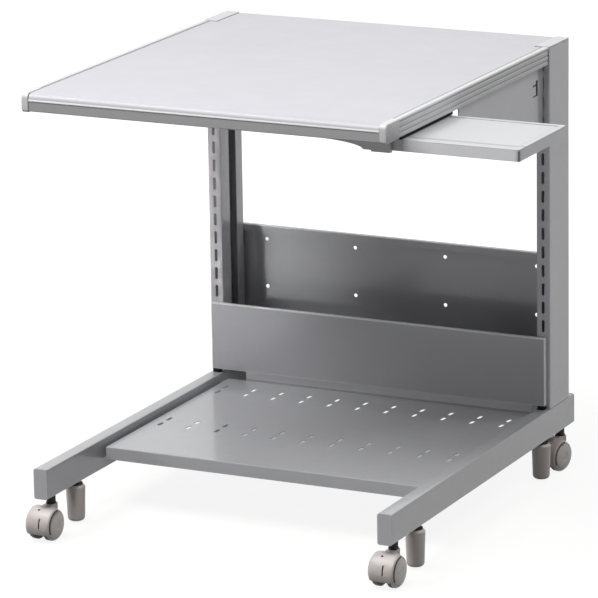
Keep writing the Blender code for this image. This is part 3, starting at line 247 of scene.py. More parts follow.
# Grain of a colour: soft clouds and fine specks, as shares of it, and how many there are per metre.
Grain = namedtuple("Grain", "cloud speckle cloud_scale speckle_scale")
PAINT_GRAIN = Grain(0.02, 0.06, 5.0, 2600.0)
HIGHLIGHT_PAINT_GRAIN = Grain(0.02, 0.04, 5.0, 2600.0)
TOP_GRAIN = Grain(0.012, 0.025, 7.0, 1800.0)
BAND_GRAIN = Grain(0.012, 0.02, 7.0, 1800.0)
LINE_GRAIN = Grain(0.01, 0.01, 9.0, 1400.0)
FACE_GRAIN = Grain(0.02, 0.03, 6.0, 2200.0)
CHIP_GRAIN = Grain(0.25, 0.35, 60.0, 900.0)
EXTRUDED_GRAIN = Grain(0.02, 0.02, 12.0, 2000.0)
TRAY_GRAIN = Grain(0.012, 0.02, 9.0, 1600.0)
STRIP_GRAIN = Grain(0.03, 0.03, 30.0, 1600.0)
PLASTIC_GRAIN = Grain(0.02, 0.03, 30.0, 1600.0)
EVEN_GRAIN = PLASTIC_GRAIN._replace(cloud=0.01, speckle=0.015)
RIB_GRAIN = PLASTIC_GRAIN._replace(cloud=0.015, speckle=0.02)
RUBBER_GRAIN = PLASTIC_GRAIN._replace(cloud=0.05, speckle=0.06)
CHANNEL_GRAIN = PLASTIC_GRAIN._replace(cloud=0.04, speckle=0.05)
FELT_GRAIN = PLASTIC_GRAIN._replace(cloud=0.20, speckle=0.30)
PLATED_GRAIN = Grain(0.06, 0.05, 60.0, 1500.0)

# Shader settings: the span of a noise texture, the soft ends of a mask and a clear coat's roughness.
NOISE_SPAN = (0.3, 0.7)
MASK_BLEND = 0.0002
COAT_ROUGHNESS = 0.12

# Plastic and steel: how far their roughness varies, and how fine spark texture and felt are.
PLASTIC_SMOOTHER = 0.05
PLASTIC_ROUGHER = 0.06
STEEL_SMOOTHER = 0.06
STEEL_ROUGHER = 0.08
SPARK_SCALE = 1100.0
FELT_SCALE = 2600.0

# Sockets of a node that mixes two colours.
MIX_FACTOR, MIX_FIRST, MIX_SECOND = 0, 6, 7
MIX_RESULT = 2

# Colour of the caster plastic, and of the painted shade inside the catch slots and the hoods' holes.
WARM_GREY = (0.69, 0.635, 0.61)
CATCH_PAINTED_SHADE = (0.03, 0.03, 0.03)
HOOD_PAINTED_SHADE = (0.035, 0.032, 0.03)


def centre_of(node):
    """Middle of a node's box."""
    low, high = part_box(node)
    return (low + high) / 2


class Finish:
    """A procedural material. Each method adds nodes and returns the socket with their result."""

    def __init__(self, name, roughness, metallic=0.0, specular=0.5, coat=0.0):
        self.material = bpy.data.materials.new(name)
        self.material.use_nodes = True
        self.tree = self.material.node_tree
        self.shader = self.tree.nodes["Principled BSDF"]
        self.shader.inputs["Roughness"].default_value = roughness
        self.shader.inputs["Metallic"].default_value = metallic
        self.shader.inputs["Specular IOR Level"].default_value = specular
        self.shader.inputs["Coat Weight"].default_value = coat
        self.shader.inputs["Coat Roughness"].default_value = COAT_ROUGHNESS
        self.place = self.node("ShaderNodeTexCoord").outputs["Object"]

    def node(self, kind, **settings):
        made = self.tree.nodes.new(kind)
        for key, value in settings.items():
            setattr(made, key, value)
        return made

    def feed(self, socket, value):
        """Links a socket to another one, or sets it to a value."""
        if isinstance(value, bpy.types.NodeSocket):
            self.tree.links.new(value, socket)
        else:
            socket.default_value = value

    def noise(self, scale, detail=2.0, stretch=(1, 1, 1)):
        mapping = self.node("ShaderNodeMapping")
        self.feed(mapping.inputs["Vector"], self.place)
        mapping.inputs["Scale"].default_value = stretch
        texture = self.node("ShaderNodeTexNoise")
        self.feed(texture.inputs["Vector"], mapping.outputs["Vector"])
        texture.inputs["Scale"].default_value = scale
        texture.inputs["Detail"].default_value = detail
        return texture.outputs[0]

    def cells(self, scale):
        """A random value for each small cell, as in flakes or speckle."""
        texture = self.node("ShaderNodeTexVoronoi")
        self.feed(texture.inputs["Vector"], self.place)
        texture.inputs["Scale"].default_value = scale
        split = self.node("ShaderNodeSeparateColor")
        self.feed(split.inputs[0], texture.outputs["Color"])
        return split.outputs[0]

    def ranged(self, value, low, high, to_low, to_high):
        """A value carried from one range to another, and held at the ends of it."""
        made = self.node("ShaderNodeMapRange", clamp=True)
        parts = {"Value": value, "From Min": low, "From Max": high, "To Min": to_low, "To Max": to_high}
        for key, part in parts.items():
            self.feed(made.inputs[key], part)
        return made.outputs["Result"]

    def math(self, operation, first, second=0.0):
        made = self.node("ShaderNodeMath", operation=operation)
        self.feed(made.inputs[0], first)
        self.feed(made.inputs[1], second)
        return made.outputs[0]

    def mix(self, factor, first, second):
        made = self.node("ShaderNodeMix", data_type="RGBA")
        self.feed(made.inputs[MIX_FACTOR], factor)
        for socket, colour in ((made.inputs[MIX_FIRST], first), (made.inputs[MIX_SECOND], second)):
            self.feed(socket, colour if isinstance(colour, bpy.types.NodeSocket) else (*colour, 1))
        return made.outputs[MIX_RESULT]

    def axis(self, index):
        split = self.node("ShaderNodeSeparateXYZ")
        self.feed(split.inputs[0], self.place)
        return split.outputs[index]

    def across(self):
        """Distance from the desk's middle plane."""
        return self.math("ABSOLUTE", self.math("SUBTRACT", self.axis(X), MIDDLE.x))

    def vector(self, operation, first, second):
        made = self.node("ShaderNodeVectorMath", operation=operation)
        self.feed(made.inputs[0], first)
        self.feed(made.inputs[1], second)
        return made.outputs["Value" if operation == "DOT_PRODUCT" else "Vector"]

    def above(self, value, limit, blend=MASK_BLEND):
        """1 where a value is above a limit, and 0 below it, with a soft step."""
        return self.ranged(value, limit - blend, limit + blend, 0, 1)

    def below(self, value, limit, blend=MASK_BLEND):
        """1 where a value is below a limit, and 0 above it, with a soft step."""
        return self.ranged(value, limit - blend, limit + blend, 1, 0)

    def between(self, value, low, high, blend=MASK_BLEND):
        """1 where a value lies between two limits, with soft ends."""
        return self.math("MULTIPLY", self.above(value, low, blend), self.below(value, high, blend))

    def joined(self, operation, *values):
        """Several values put together, two at a time, by one operation."""
        made = values[0]
        for value in values[1:]:
            made = self.math(operation, made, value)
        return made

    def mottled(self, colour, grain):
        """A colour with the soft clouds and fine specks of a grain."""
        dark = [part * (1 - grain.cloud) for part in colour]
        light = [part * (1 + grain.cloud) for part in colour]
        cloudy = self.ranged(self.noise(grain.cloud_scale, detail=3.0), *NOISE_SPAN, 0, 1)
        specks = self.ranged(self.cells(grain.speckle_scale), 0, 1, 1 - grain.speckle, 1 + grain.speckle)
        made = self.node("ShaderNodeVectorMath", operation="SCALE")
        self.feed(made.inputs[0], self.mix(cloudy, dark, light))
        self.feed(made.inputs["Scale"], specks)
        return made.outputs[0]

    def colour(self, socket):
        self.feed(self.shader.inputs["Base Color"], socket)

    def roughness(self, low, high, scale):
        value = self.ranged(self.noise(scale, detail=4.0), *NOISE_SPAN, low, high)
        self.feed(self.shader.inputs["Roughness"], value)

    def bump(self, height, strength, distance):
        made = self.node("ShaderNodeBump")
        made.inputs["Strength"].default_value = strength
        made.inputs["Distance"].default_value = distance
        self.feed(made.inputs["Height"], height)
        self.feed(self.shader.inputs["Normal"], made.outputs["Normal"])

    def spark(self, scale=SPARK_SCALE):
        """Fine spark texture, as a mould leaves it on plastic."""
        self.bump(self.noise(scale), strength=0.12, distance=0.00015)


def silver_paint(name="silver_paint_finish", catch_slot=False, edges=()):
    """Powder coat with fine metallic flakes and a faint orange peel.

    A bracket's catch slot has painted shade inside. Edges are bands, each an axis and two limits,
    where a painted highlight lightens the coat along a fold.
    """
    made = Finish(name, roughness=0.42, metallic=0.08, specular=0.25, coat=0.7)
    paint = made.mottled((0.495, 0.497, 0.522), PAINT_GRAIN)
    # Painted highlight: bands along the folds' edges are lighter, where light catches the bends.
    if edges:
        highlit_edges = [made.between(made.axis(axis), low, high, EDGE_HIGHLIGHT_BLEND) for axis, low, high in edges]
        painted_highlight = made.mottled((0.80, 0.80, 0.81), HIGHLIGHT_PAINT_GRAIN)
        paint = made.mix(made.joined("MAXIMUM", *highlit_edges), paint, painted_highlight)
    # Painted shade: the inside of the catch slot is dark, where shade falls in it.
    if catch_slot:
        outer = BRACKET_HIGH.x - MIDDLE.x
        depths = sorted(outer - depth for depth in CATCH_DEPTHS)
        places = sorted(BRACKET_HIGH.y - inset for inset in CATCH_FROM_REAR)
        heights = sorted(BRACKET_HIGH.z - inset for inset in CATCH_FROM_TOP)
        hole = made.joined(
            "MULTIPLY",
            made.between(made.across(), *depths, CATCH_BLEND),
            made.between(made.axis(Y), *places),
            made.between(made.axis(Z), *heights),
        )
        paint = made.mix(hole, paint, CATCH_PAINTED_SHADE)
    made.colour(paint)
    made.roughness(0.38, 0.48, scale=60.0)
    made.bump(made.noise(scale=900.0), strength=0.10, distance=0.0002)
    return made.material


def pale_laminate():
    """Laminate top with a fine fleck, a soft front roll, a bright line of painted highlight, a grey face
    and raw sides.
    """
    made = Finish("pale_laminate_finish", roughness=0.40, specular=0.45)
    top = made.mottled((0.585, 0.58, 0.62), TOP_GRAIN)
    band = made.mottled((0.62, 0.62, 0.65), BAND_GRAIN)
    line = made.mottled((0.86, 0.86, 0.87), LINE_GRAIN)
    edge = made.mottled((0.42, 0.42, 0.43), FACE_GRAIN)
    chips = made.mottled((0.11, 0.09, 0.07), CHIP_GRAIN)
    # The bright line at the top of the face is a painted highlight.
    for height, colour in ((EDGE_FACE_TOP, line), (EDGE_LINE_TOP, band), (EDGE_BAND_TOP, top)):
        edge = made.mix(made.above(made.axis(Z), height, EDGE_BLEND), edge, colour)
    edge_end = BOARD_LOW.y + EDGE_DEPTH
    front = made.ranged(made.axis(Y), edge_end - EDGE_FADE, edge_end, 1, 0)
    half = (BOARD_HIGH.x - BOARD_LOW.x) / 2
    raw = made.ranged(made.across(), half - RAW_SIDE_START, half - RAW_SIDE_FULL, 0, 1)
    made.colour(made.mix(raw, made.mix(front, top, edge), chips))
    made.roughness(0.36, 0.46, scale=25.0)
    made.bump(made.noise(scale=1500.0, detail=3.0), strength=0.06, distance=0.0001)
    return made.material


def moulded(name, colour, roughness, grain=PLASTIC_GRAIN, specular=0.5, scale=SPARK_SCALE):
    """Moulded plastic: slight mottling and a fine spark texture."""
    made = Finish(name, roughness, specular=specular)
    made.colour(made.mottled(colour, grain))
    made.roughness(roughness - PLASTIC_SMOOTHER, roughness + PLASTIC_ROUGHER, scale=120.0)
    made.spark(scale)
    return made.material


def edge_plastic():
    """Extruded edge plastic, with faint lines along its length."""
    made = Finish("silver_edge_finish", roughness=0.34, metallic=0.15)
    made.colour(made.mottled((0.50, 0.50, 0.52), EXTRUDED_GRAIN))
    made.roughness(0.28, 0.38, scale=50.0)
    made.bump(made.noise(scale=700.0, stretch=(1.0, 0.02, 1.0)), strength=0.08, distance=0.0001)
    return made.material


def tray_plastic():
    """Pale tray: a darker rim line round its top as painted shade, a broad one behind its front, and
    lighter sides, partly a pale edge band and partly painted light.
    """
    made = Finish("pale_tray_finish", roughness=0.42)
    top = made.mottled((0.62, 0.63, 0.65), TRAY_GRAIN)
    line = made.mottled((0.44, 0.45, 0.46), TRAY_GRAIN)
    side = made.mottled((0.83, 0.83, 0.86), TRAY_GRAIN)
    from_front = made.math("SUBTRACT", made.axis(Y), TRAY_LOW.y)
    from_right = made.math("SUBTRACT", TRAY_HIGH.x, made.axis(X))
    from_rear = made.math("SUBTRACT", TRAY_HIGH.y, made.axis(Y))
    inset = made.joined("MINIMUM", from_right, from_front, from_rear)
    # Painted shade: a darker line along the step into the recess; a broad darker line also runs behind
    # the front.
    rim = made.between(inset, TRAY_RIM - TRAY_RIM_LINE, TRAY_RIM + TRAY_RIM_LINE, TRAY_RIM_BLEND)
    ridge_start = TRAY_FRONT_RIM - TRAY_FRONT_LINE
    ridge_end = TRAY_FRONT_RIM + TRAY_FRONT_LINE
    ridge = made.between(from_front, ridge_start, ridge_end, TRAY_FRONT_BLEND)
    shade_lined_top = made.mix(made.math("MAXIMUM", rim, ridge), top, line)
    # The sides are lighter than the top: partly a pale edge band, partly painted light.
    upper = made.ranged(made.axis(Z), TRAY_EDGE_TOP - TRAY_EDGE_BLEND, TRAY_EDGE_TOP, 0, 1)
    made.colour(made.mix(upper, side, shade_lined_top))
    made.roughness(0.37, 0.48, scale=120.0)
    made.spark()
    return made.material


def strip_plastic():
    """Tray corner strip: tray plastic with a dark grey line up its middle."""
    made = Finish("corner_strip_finish", roughness=0.45)
    pale = made.mottled((0.70, 0.70, 0.73), TRAY_GRAIN)
    dark = made.mottled((0.20, 0.20, 0.20), STRIP_GRAIN)
    along = made.math("ADD", made.axis(X), made.axis(Y))
    start = STRIP_LOW.x + STRIP_LOW.y
    width = STRIP_HIGH.x + STRIP_HIGH.y - start
    limits = [start + share * width for share in STRIP_LINE_SHARES]
    low_enough = made.below(made.axis(Z), TRAY_EDGE_TOP - STRIP_LINE_DROP)
    line = made.math("MULTIPLY", made.between(along, *limits), low_enough)
    made.colour(made.mix(line, pale, dark))
    made.roughness(0.40, 0.50, scale=120.0)
    made.spark()
    return made.material


def hood_plastic(corner):
    """Caster hood: pale plastic, with painted shade inside its slit and hole and on the rims against the
    wheels.
    """
    made = Finish(f"{corner}_hood_finish", roughness=0.40)
    pale = made.mottled(WARM_GREY, PLASTIC_GRAIN)
    out = made.vector("SUBTRACT", made.place, centre_of(f"{corner}_caster_axle"))
    along = made.vector("DOT_PRODUCT", out, Vector(SPIN_AXES[f"{corner}_caster_right_wheel"]))
    whole = made.vector("DOT_PRODUCT", out, out)
    radius = made.math("SQRT", made.math("SUBTRACT", whole, made.math("MULTIPLY", along, along)))
    aside = made.math("ABSOLUTE", along)
    under_skin = made.ranged(radius, HOOD_SKIN - HOOD_SKIN_BLEND, HOOD_SKIN, 1, 0)
    in_middle = made.ranged(aside, HOOD_MIDDLE, HOOD_MIDDLE + HOOD_SIDE_BLEND, 1, 0)
    rim = made.ranged(aside, HOOD_RIM, HOOD_RIM + HOOD_SIDE_BLEND, 0, 1)
    shade = made.math("MAXIMUM", made.math("MULTIPLY", under_skin, in_middle), rim)
    made.colour(made.mix(shade, pale, HOOD_PAINTED_SHADE))
    made.roughness(0.35, 0.46, scale=120.0)
    made.spark()
    return made.material


def plated(name, colour, roughness):
    """Plated or blackened steel with fine drawn marks."""
    made = Finish(name, roughness, metallic=0.9)
    made.colour(made.mottled(colour, PLATED_GRAIN))
    made.roughness(roughness - STEEL_SMOOTHER, roughness + STEEL_ROUGHER, scale=200.0)
    made.bump(made.noise(scale=1800.0, stretch=(1.0, 1.0, 0.1)), strength=0.15, distance=0.0001)
    return made.material


def highlight_band(axis, edge):
    """Band of painted highlight along an edge of a folded sheet: its axis and two limits."""
    return axis, edge - EDGE_HIGHLIGHT, edge + EDGE_HIGHLIGHT


# Bands of painted highlight along the edges of the folded sheets.
SHEET_HIGHLIGHTS = {
    "front_panel": [
        highlight_band(Z, FRONT_PANEL_HIGH.z),
        highlight_band(X, FRONT_PANEL_HIGH.x),
        highlight_band(X, FRONT_PANEL_LOW.x),
        highlight_band(Z, FRONT_PANEL_LOW.z),
    ],
    "back_panel": [highlight_band(Z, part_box("back_panel")[1].z)],
    "shelf": [(Z, SHELF_TOP + UPSTAND_HIGHLIGHT_START, SHELF_HIGH.z + EDGE_HIGHLIGHT)],
}
SHEET_FINISHES = {}
for sheet, sheet_highlights in SHEET_HIGHLIGHTS.items():
    SHEET_FINISHES[sheet] = silver_paint(f"{sheet}_paint_finish", edges=sheet_highlights)

FINISHES = {
    "silver_paint": silver_paint(),
    "pale_laminate": pale_laminate(),
    "silver_edge_plastic": edge_plastic(),
    "white_plastic": moulded("white_plastic_finish", (0.66, 0.66, 0.67), roughness=0.36),
    "pale_tray": tray_plastic(),
    "dark_grey_plastic": strip_plastic(),
    "warm_grey_plastic": moulded("warm_grey_finish", WARM_GREY, roughness=0.40),
    "black_steel": plated("black_steel_finish", (0.022, 0.022, 0.022), roughness=0.42),
    "zinc_plate": plated("zinc_plate_finish", (0.62, 0.62, 0.60), roughness=0.34),
}
BRACKET_FINISH = silver_paint("bracket_paint_finish", catch_slot=True)
HOOD_FINISHES = {corner: hood_plastic(corner) for corner in CORNERS}
TREAD_FINISH = moulded("tread_finish", (0.055, 0.052, 0.05), roughness=0.55, grain=RUBBER_GRAIN)
FOOT_FINISH = moulded("foot_finish", (0.82, 0.75, 0.72), roughness=0.40)
WHEEL_FINISH = moulded("wheel_disc_finish", (0.94, 0.88, 0.85), roughness=0.40)
# Painted light on mouldings and caps: grooves, chamfer and cap edge are painted darker as shade, the roll
# and cap rim lighter as a highlight.
RIB_FINISH = moulded("moulding_rib_finish", (0.66, 0.66, 0.68), roughness=0.36, grain=RIB_GRAIN)
GROOVE_SHADE_FINISH = moulded("moulding_groove_shade_finish", (0.46, 0.46, 0.47), roughness=0.45)
ROLL_HIGHLIGHT_FINISH = moulded("moulding_roll_highlight_finish", (0.73, 0.73, 0.74), roughness=0.32, grain=EVEN_GRAIN)
# The bead's bright colour also paints the highlight along the desktop's edge.
BEAD_FINISH = moulded("edge_bead_finish", (0.86, 0.86, 0.87), roughness=0.32, grain=EVEN_GRAIN)
BAND_FINISH = moulded("moulding_band_finish", (0.585, 0.58, 0.61), roughness=0.36, grain=EVEN_GRAIN)
SEAM_SHADE_FINISH = moulded("moulding_seam_shade_finish", (0.37, 0.37, 0.38), roughness=0.45)
CHANNEL_FINISH = moulded("channel_finish", (0.82, 0.82, 0.83), roughness=0.50, grain=CHANNEL_GRAIN)
# Black felt, whose black also paints shade in the slot over the tray and in the gaps by the front panel.
FELT_AND_SHADE_FINISH = moulded(
    "felt_and_shade_finish",
    (0.020, 0.020, 0.022),
    roughness=0.90,
    grain=FELT_GRAIN,
    specular=0.1,
    scale=FELT_SCALE,
)

for node, slot in SLOTS.items():
    finish = SHEET_FINISHES.get(node, FINISHES[slot])
    if node.endswith("_desk_bracket"):
        finish = BRACKET_FINISH
    if node.endswith("_caster_housing"):
        finish = HOOD_FINISHES[node.removesuffix("_caster_housing")]
    for holder in NODES[node].material_slots:
        holder.material = finish


def smooth_normals():
    """Node group that welds a mesh and shades it smooth, with its hard edges kept."""
    group = bpy.data.node_groups.new("smooth_normals", "GeometryNodeTree")
    group.interface.new_socket("Geometry", in_out="INPUT", socket_type="NodeSocketGeometry")
    group.interface.new_socket("Geometry", in_out="OUTPUT", socket_type="NodeSocketGeometry")
    nodes = group.nodes
    links = group.links
    start = nodes.new("NodeGroupInput")
    end = nodes.new("NodeGroupOutput")
    bare = nodes.new("GeometryNodeRemoveAttribute")
    bare.inputs["Name"].default_value = "custom_normal"
    weld = nodes.new("GeometryNodeMergeByDistance")
    weld.inputs["Distance"].default_value = WELD_DISTANCE
    soft = nodes.new("GeometryNodeSetShadeSmooth")
    soft.domain = "FACE"
    angle = nodes.new("GeometryNodeInputMeshEdgeAngle")
    sharp = nodes.new("FunctionNodeCompare")
    sharp.operation = "GREATER_THAN"
    sharp.inputs["B"].default_value = HARD_ANGLE
    hard = nodes.new("GeometryNodeSetShadeSmooth")
    hard.domain = "EDGE"
    hard.inputs["Shade Smooth"].default_value = False
    links.new(start.outputs[0], bare.inputs[0])
    links.new(bare.outputs[0], weld.inputs[0])
    links.new(weld.outputs[0], soft.inputs[0])
    links.new(soft.outputs[0], hard.inputs[0])
    links.new(angle.outputs["Unsigned Angle"], sharp.inputs["A"])
    links.new(sharp.outputs[0], hard.inputs["Selection"])
    links.new(hard.outputs[0], end.inputs[0])
    return group


SMOOTH = smooth_normals()


def smooth(piece):
    """Smooth shading in which a broad flat face keeps its own normal beside a rounded edge."""
    piece.modifiers.new("smooth_normals", "NODES").node_group = SMOOTH
    flat = piece.modifiers.new("flat_faces", "WEIGHTED_NORMAL")
    flat.keep_sharp = True
    flat.weight = FLAT_FACE_WEIGHT


for piece in NODES.values():
    smooth(piece)


def new_piece(name, shape, finishes):
    """Object from a bmesh, which is closed and gets its face normals turned outward."""
    bmesh.ops.recalc_face_normals(shape, faces=shape.faces)
    mesh = bpy.data.meshes.new(name)
    shape.to_mesh(mesh)
    shape.free()
    for finish in finishes:
        mesh.materials.append(finish)
    mesh.shade_smooth()
    mesh.set_sharp_from_angle(angle=HARD_ANGLE)
    piece = bpy.data.objects.new(name, mesh)
    bpy.context.scene.collection.objects.link(piece)
    return piece


def lathe(name, profile, finishes, segments=TURNED_SEGMENTS):
    """Closed turned piece about Z. A profile point is (radius, height, finish of the band after it)."""
    shape = bmesh.new()
    rings = []
    for radius, height, _ in profile:
        if radius == 0:
            rings.append([shape.verts.new((0, 0, height))])
            continue
        ring = []
        for i in range(segments):
            angle = 2 * math.pi * i / segments
            ring.append(shape.verts.new((radius * math.cos(angle), radius * math.sin(angle), height)))
        rings.append(ring)
    for (_, _, finish), upper, lower in zip(profile, rings, rings[1:]):
        for i in range(segments):
            j = (i + 1) % segments
            loop = [
                upper[i % len(upper)],
                upper[j % len(upper)],
                lower[j % len(lower)],
                lower[i % len(lower)],
            ]
            corners = list(dict.fromkeys(loop))
            shape.faces.new(corners).material_index = finish
    return new_piece(name, shape, finishes)


def skinned(name, loops, bands, finishes, sides=None):
    """Closed piece through loops of points.

    Bands gives the finish between each loop and the next, or sides that of each strip along them.
    """
    shape = bmesh.new()
    rings = [[shape.verts.new(point) for point in loop] for loop in loops]
    for band, (first, second) in zip(bands, zip(rings, rings[1:])):
        for i in range(len(first)):
            j = (i + 1) % len(first)
            face = shape.faces.new((first[i], first[j], second[j], second[i]))
            face.material_index = sides[i] if sides else band
    for ring, band in ((rings[0], bands[0]), (rings[-1], bands[-1])):
        shape.faces.new(ring).material_index = FIRST if sides else band
    return new_piece(name, shape, finishes)


def stands_for(piece, node, body):
    """A piece shown in place of a CAD node, which it follows."""
    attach(piece, body)
    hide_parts(node)


def adds_to_frame(piece):
    """A piece of the frame that no CAD node stands for."""
    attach(piece, "frame")


def stand_upright(piece, node):
    """Moves a piece turned about Z to the upright axis of a node."""
    middle = centre_of(node)
    piece.location = (middle.x, middle.y, 0)


def arc(centre, radius, start, end, facets):
    """Points on an arc about a centre, from one angle to another."""
    points = []
    for i in range(facets + 1):
        angle = start + (end - start) * i / facets
        points.append((centre[0] + radius * math.cos(angle), centre[1] + radius * math.sin(angle)))
    return points


def banded(points, finish=FIRST):
    """Profile points for a lathe, with one finish for the bands after them."""
    return [(radius, height, finish) for radius, height in points]


def along_x(outline, ends):
    """Loops of an outline of (y, z) points at both ends of a length along X."""
    return [[(x, y, z) for y, z in outline] for x in ends]


def along_y(outline, ends):
    """Loops of an outline of (x, z) points at both ends of a length along Y."""
    return [[(x, y, z) for x, z in outline] for y in ends]


def wheel_profile():
    """Wheel from its covered outer face to its bore: disc, groove, shoulder and dark tread."""
    half = WHEEL_WIDTH / 2
    hub = WHEEL_HUB_RADIUS
    groove = WHEEL_GROOVE
    flat = WHEEL_RADIUS - WHEEL_FLAT_SHARE * WHEEL_EDGE
    bend = (WHEEL_RADIUS - WHEEL_BEND_SHARE * WHEEL_EDGE, half - WHEEL_BEND_SHARE * WHEEL_EDGE)
    rim = Vector((flat, half)).lerp(Vector(bend), WHEEL_RIM_SHARE)
    shoulder_in, shoulder_down = WHEEL_SHOULDER_SHARES
    face = [
        (0, half),
        (hub - groove, half),
        (hub, half - groove),
        (hub + groove, half - groove),
        (hub + 2 * groove, half),
        (flat, half),
        tuple(rim),
        (rim.x + groove / 2, rim.y - 2 * groove),
        (bend[0] - groove, bend[1] - 2 * groove),
        bend,
        (WHEEL_RADIUS - shoulder_in * WHEEL_EDGE, half - shoulder_down * WHEEL_EDGE),
    ]
    tread = [
        (WHEEL_RADIUS, half - WHEEL_EDGE),
        (WHEEL_RADIUS, -half + WHEEL_TREAD_LIP),
        (WHEEL_RADIUS - WHEEL_TREAD_LIP, -half),
    ]
    inner = [
        (WHEEL_RADIUS - WHEEL_EDGE, -half),
        (AXLE_BORE, -half),
        (AXLE_BORE, half - AXLE_COVER),
        (0, half - AXLE_COVER),
    ]
    return banded(face) + banded(tread, SECOND) + banded(inner)


def wheels():
    """Two wheels on each caster's axle, with their covered faces outward."""
    for corner in CORNERS:
        axle = centre_of(f"{corner}_caster_axle")
        for side, way in SIDE_WAYS:
            node = f"{corner}_caster_{side}_wheel"
            outward = way * Vector(SPIN_AXES[node])
            middle = axle + WHEEL_OFFSET * outward
            piece = lathe(f"{node}_turned", wheel_profile(), [WHEEL_FINISH, TREAD_FINISH])
            turn = Vector((0, 0, 1)).rotation_difference(outward).to_matrix().to_4x4()
            piece.data.transform(Matrix.Translation(middle) @ turn)
            stands_for(piece, node, node)


def feet():
    """Feet with a black lock nut on top, whose black also paints the shade under the rail, a sloped
    shoulder and a rounded toe.
    """
    for corner in CORNERS:
        node = f"{corner}_leg_foot"
        low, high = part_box(node)
        base = FOOT_RADIUS - FOOT_TAPER
        toe = arc((base - FOOT_TOE, low.z + FOOT_TOE), FOOT_TOE, 0, -QUARTER, facets=8)
        nut_radius = FOOT_RADIUS - FOOT_SHOULDER - FOOT_NUT_INSET
        shoulder = high.z - FOOT_NUT
        nut = [
            (0, high.z - FOOT_BORE_DEPTH),
            (FOOT_BORE, high.z - FOOT_BORE_DEPTH),
            (FOOT_BORE, high.z),
            (nut_radius, high.z),
        ]
        body = [
            (nut_radius, shoulder),
            (FOOT_RADIUS - FOOT_SHOULDER, shoulder),
            (FOOT_RADIUS, high.z - FOOT_SHOULDER_HEIGHT - FOOT_NUT / 2),
            *toe,
            (0, low.z),
        ]
        # The nut's black also paints the shade under the rail.
        profile = banded(nut, SECOND) + banded(body)
        piece = lathe(f"{node}_turned", profile, [FOOT_FINISH, FINISHES["black_steel"]])
        stand_upright(piece, node)
        stands_for(piece, node, node)


def studs():
    """Studs with the ridges of their thread."""
    for corner in CORNERS:
        node = f"{corner}_leg_stud"
        low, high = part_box(node)
        profile = [(0, high.z), (STUD_RADIUS - THREAD_DEPTH, high.z)]
        ridges = int((high.z - low.z) / THREAD_PITCH) - 1
        for i in range(ridges):
            crest = high.z - THREAD_PITCH * (i + THREAD_START)
            profile.append((STUD_RADIUS, crest))
            profile.append((STUD_RADIUS - THREAD_DEPTH, crest - THREAD_PITCH / 2))
        profile += [(STUD_RADIUS - THREAD_DEPTH, low.z), (0, low.z)]
        piece = lathe(f"{node}_threaded", banded(profile), [FINISHES["black_steel"]], STUD_SEGMENTS)
        stand_upright(piece, node)
        stands_for(piece, node, node)


def stems():
    """Caster stems: a pin in the rail, a neck under it and a flange on the hood."""
    for corner in CORNERS:
        node = f"{corner}_caster_stem"
        low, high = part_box(node)
        neck_high = high.z - STEM_PIN
        flange_high = neck_high - STEM_NECK
        flange_low = flange_high - STEM_FLANGE
        profile = [
            (0, high.z),
            (STEM_PIN_RADIUS - STEM_EDGE, high.z),
            (STEM_PIN_RADIUS, high.z - STEM_EDGE),
            (STEM_PIN_RADIUS, neck_high),
            (STEM_NECK_RADIUS, neck_high),
            (STEM_NECK_RADIUS, flange_high),
            (STEM_FLANGE_RADIUS - STEM_EDGE, flange_high),
            (STEM_FLANGE_RADIUS, flange_high - STEM_EDGE),
            (STEM_FLANGE_RADIUS, flange_low),
            (STEM_LOWER_RADIUS, flange_low),
            (STEM_LOWER_RADIUS, low.z),
            (0, low.z),
        ]
        piece = lathe(f"{node}_turned", banded(profile), [FINISHES["black_steel"]], STEM_SEGMENTS)
        stand_upright(piece, node)
        stands_for(piece, node, "frame")


def moulding_outline(width, foot, top):
    """Section of a side moulding as (distance out, height, finish of the strip after it)."""
    foot_centre = (width - MOULDING_FOOT_ROUND, foot + MOULDING_FOOT_ROUND)
    roll_centre = (width - MOULDING_ROLL, top - MOULDING_ROLL)
    outline = [(0, foot, RIB)]
    outline += [(u, z, RIB) for u, z in arc(foot_centre, MOULDING_FOOT_ROUND, -QUARTER, 0, facets=4)]
    for height in GROOVE_HEIGHTS:
        middle = foot + height
        outline += [
            (width, middle - GROOVE_HALF_WIDTH, RIB),
            (width - GROOVE_DEPTH, middle - GROOVE_HALF_WIDTH / 2, GROOVE),
            (width - GROOVE_DEPTH, middle + GROOVE_HALF_WIDTH / 2, RIB),
            (width, middle + GROOVE_HALF_WIDTH, RIB),
        ]
    outline += [(u, z, ROLL) for u, z in arc(roll_centre, MOULDING_ROLL, 0, QUARTER, facets=8)]
    outline += [
        (MOULDING_TOP_BAND, top, BAND),
        (MOULDING_CHAMFER, top, SEAM),
        (0, top - MOULDING_LIP, SEAM),
    ]
    return outline


def mouldings():
    """Side mouldings: three grooves and an inner chamfer with painted shade, and a rolled top with a
    painted highlight.

    Below the roll they stop short of the posts.
    """
    for side, way in SIDE_WAYS:
        node = f"{side}_moulding"
        low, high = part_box(node)
        inner = low.x if way > 0 else high.x
        outline = moulding_outline(high.x - low.x, low.z, high.z)
        front = []
        rear = []
        for u, z, finish in outline:
            gap = MOULDING_REAR_GAP if finish in (RIB, GROOVE) else 0
            front.append((inner + way * u, low.y, z))
            rear.append((inner + way * u, high.y - gap, z))
        finishes = [RIB_FINISH, GROOVE_SHADE_FINISH, ROLL_HIGHLIGHT_FINISH, BAND_FINISH, SEAM_SHADE_FINISH]
        strips = [finish for _, _, finish in outline]
        piece = skinned(f"{node}_ribbed", [front, rear], [FIRST], finishes, strips)
        stands_for(piece, node, "frame")


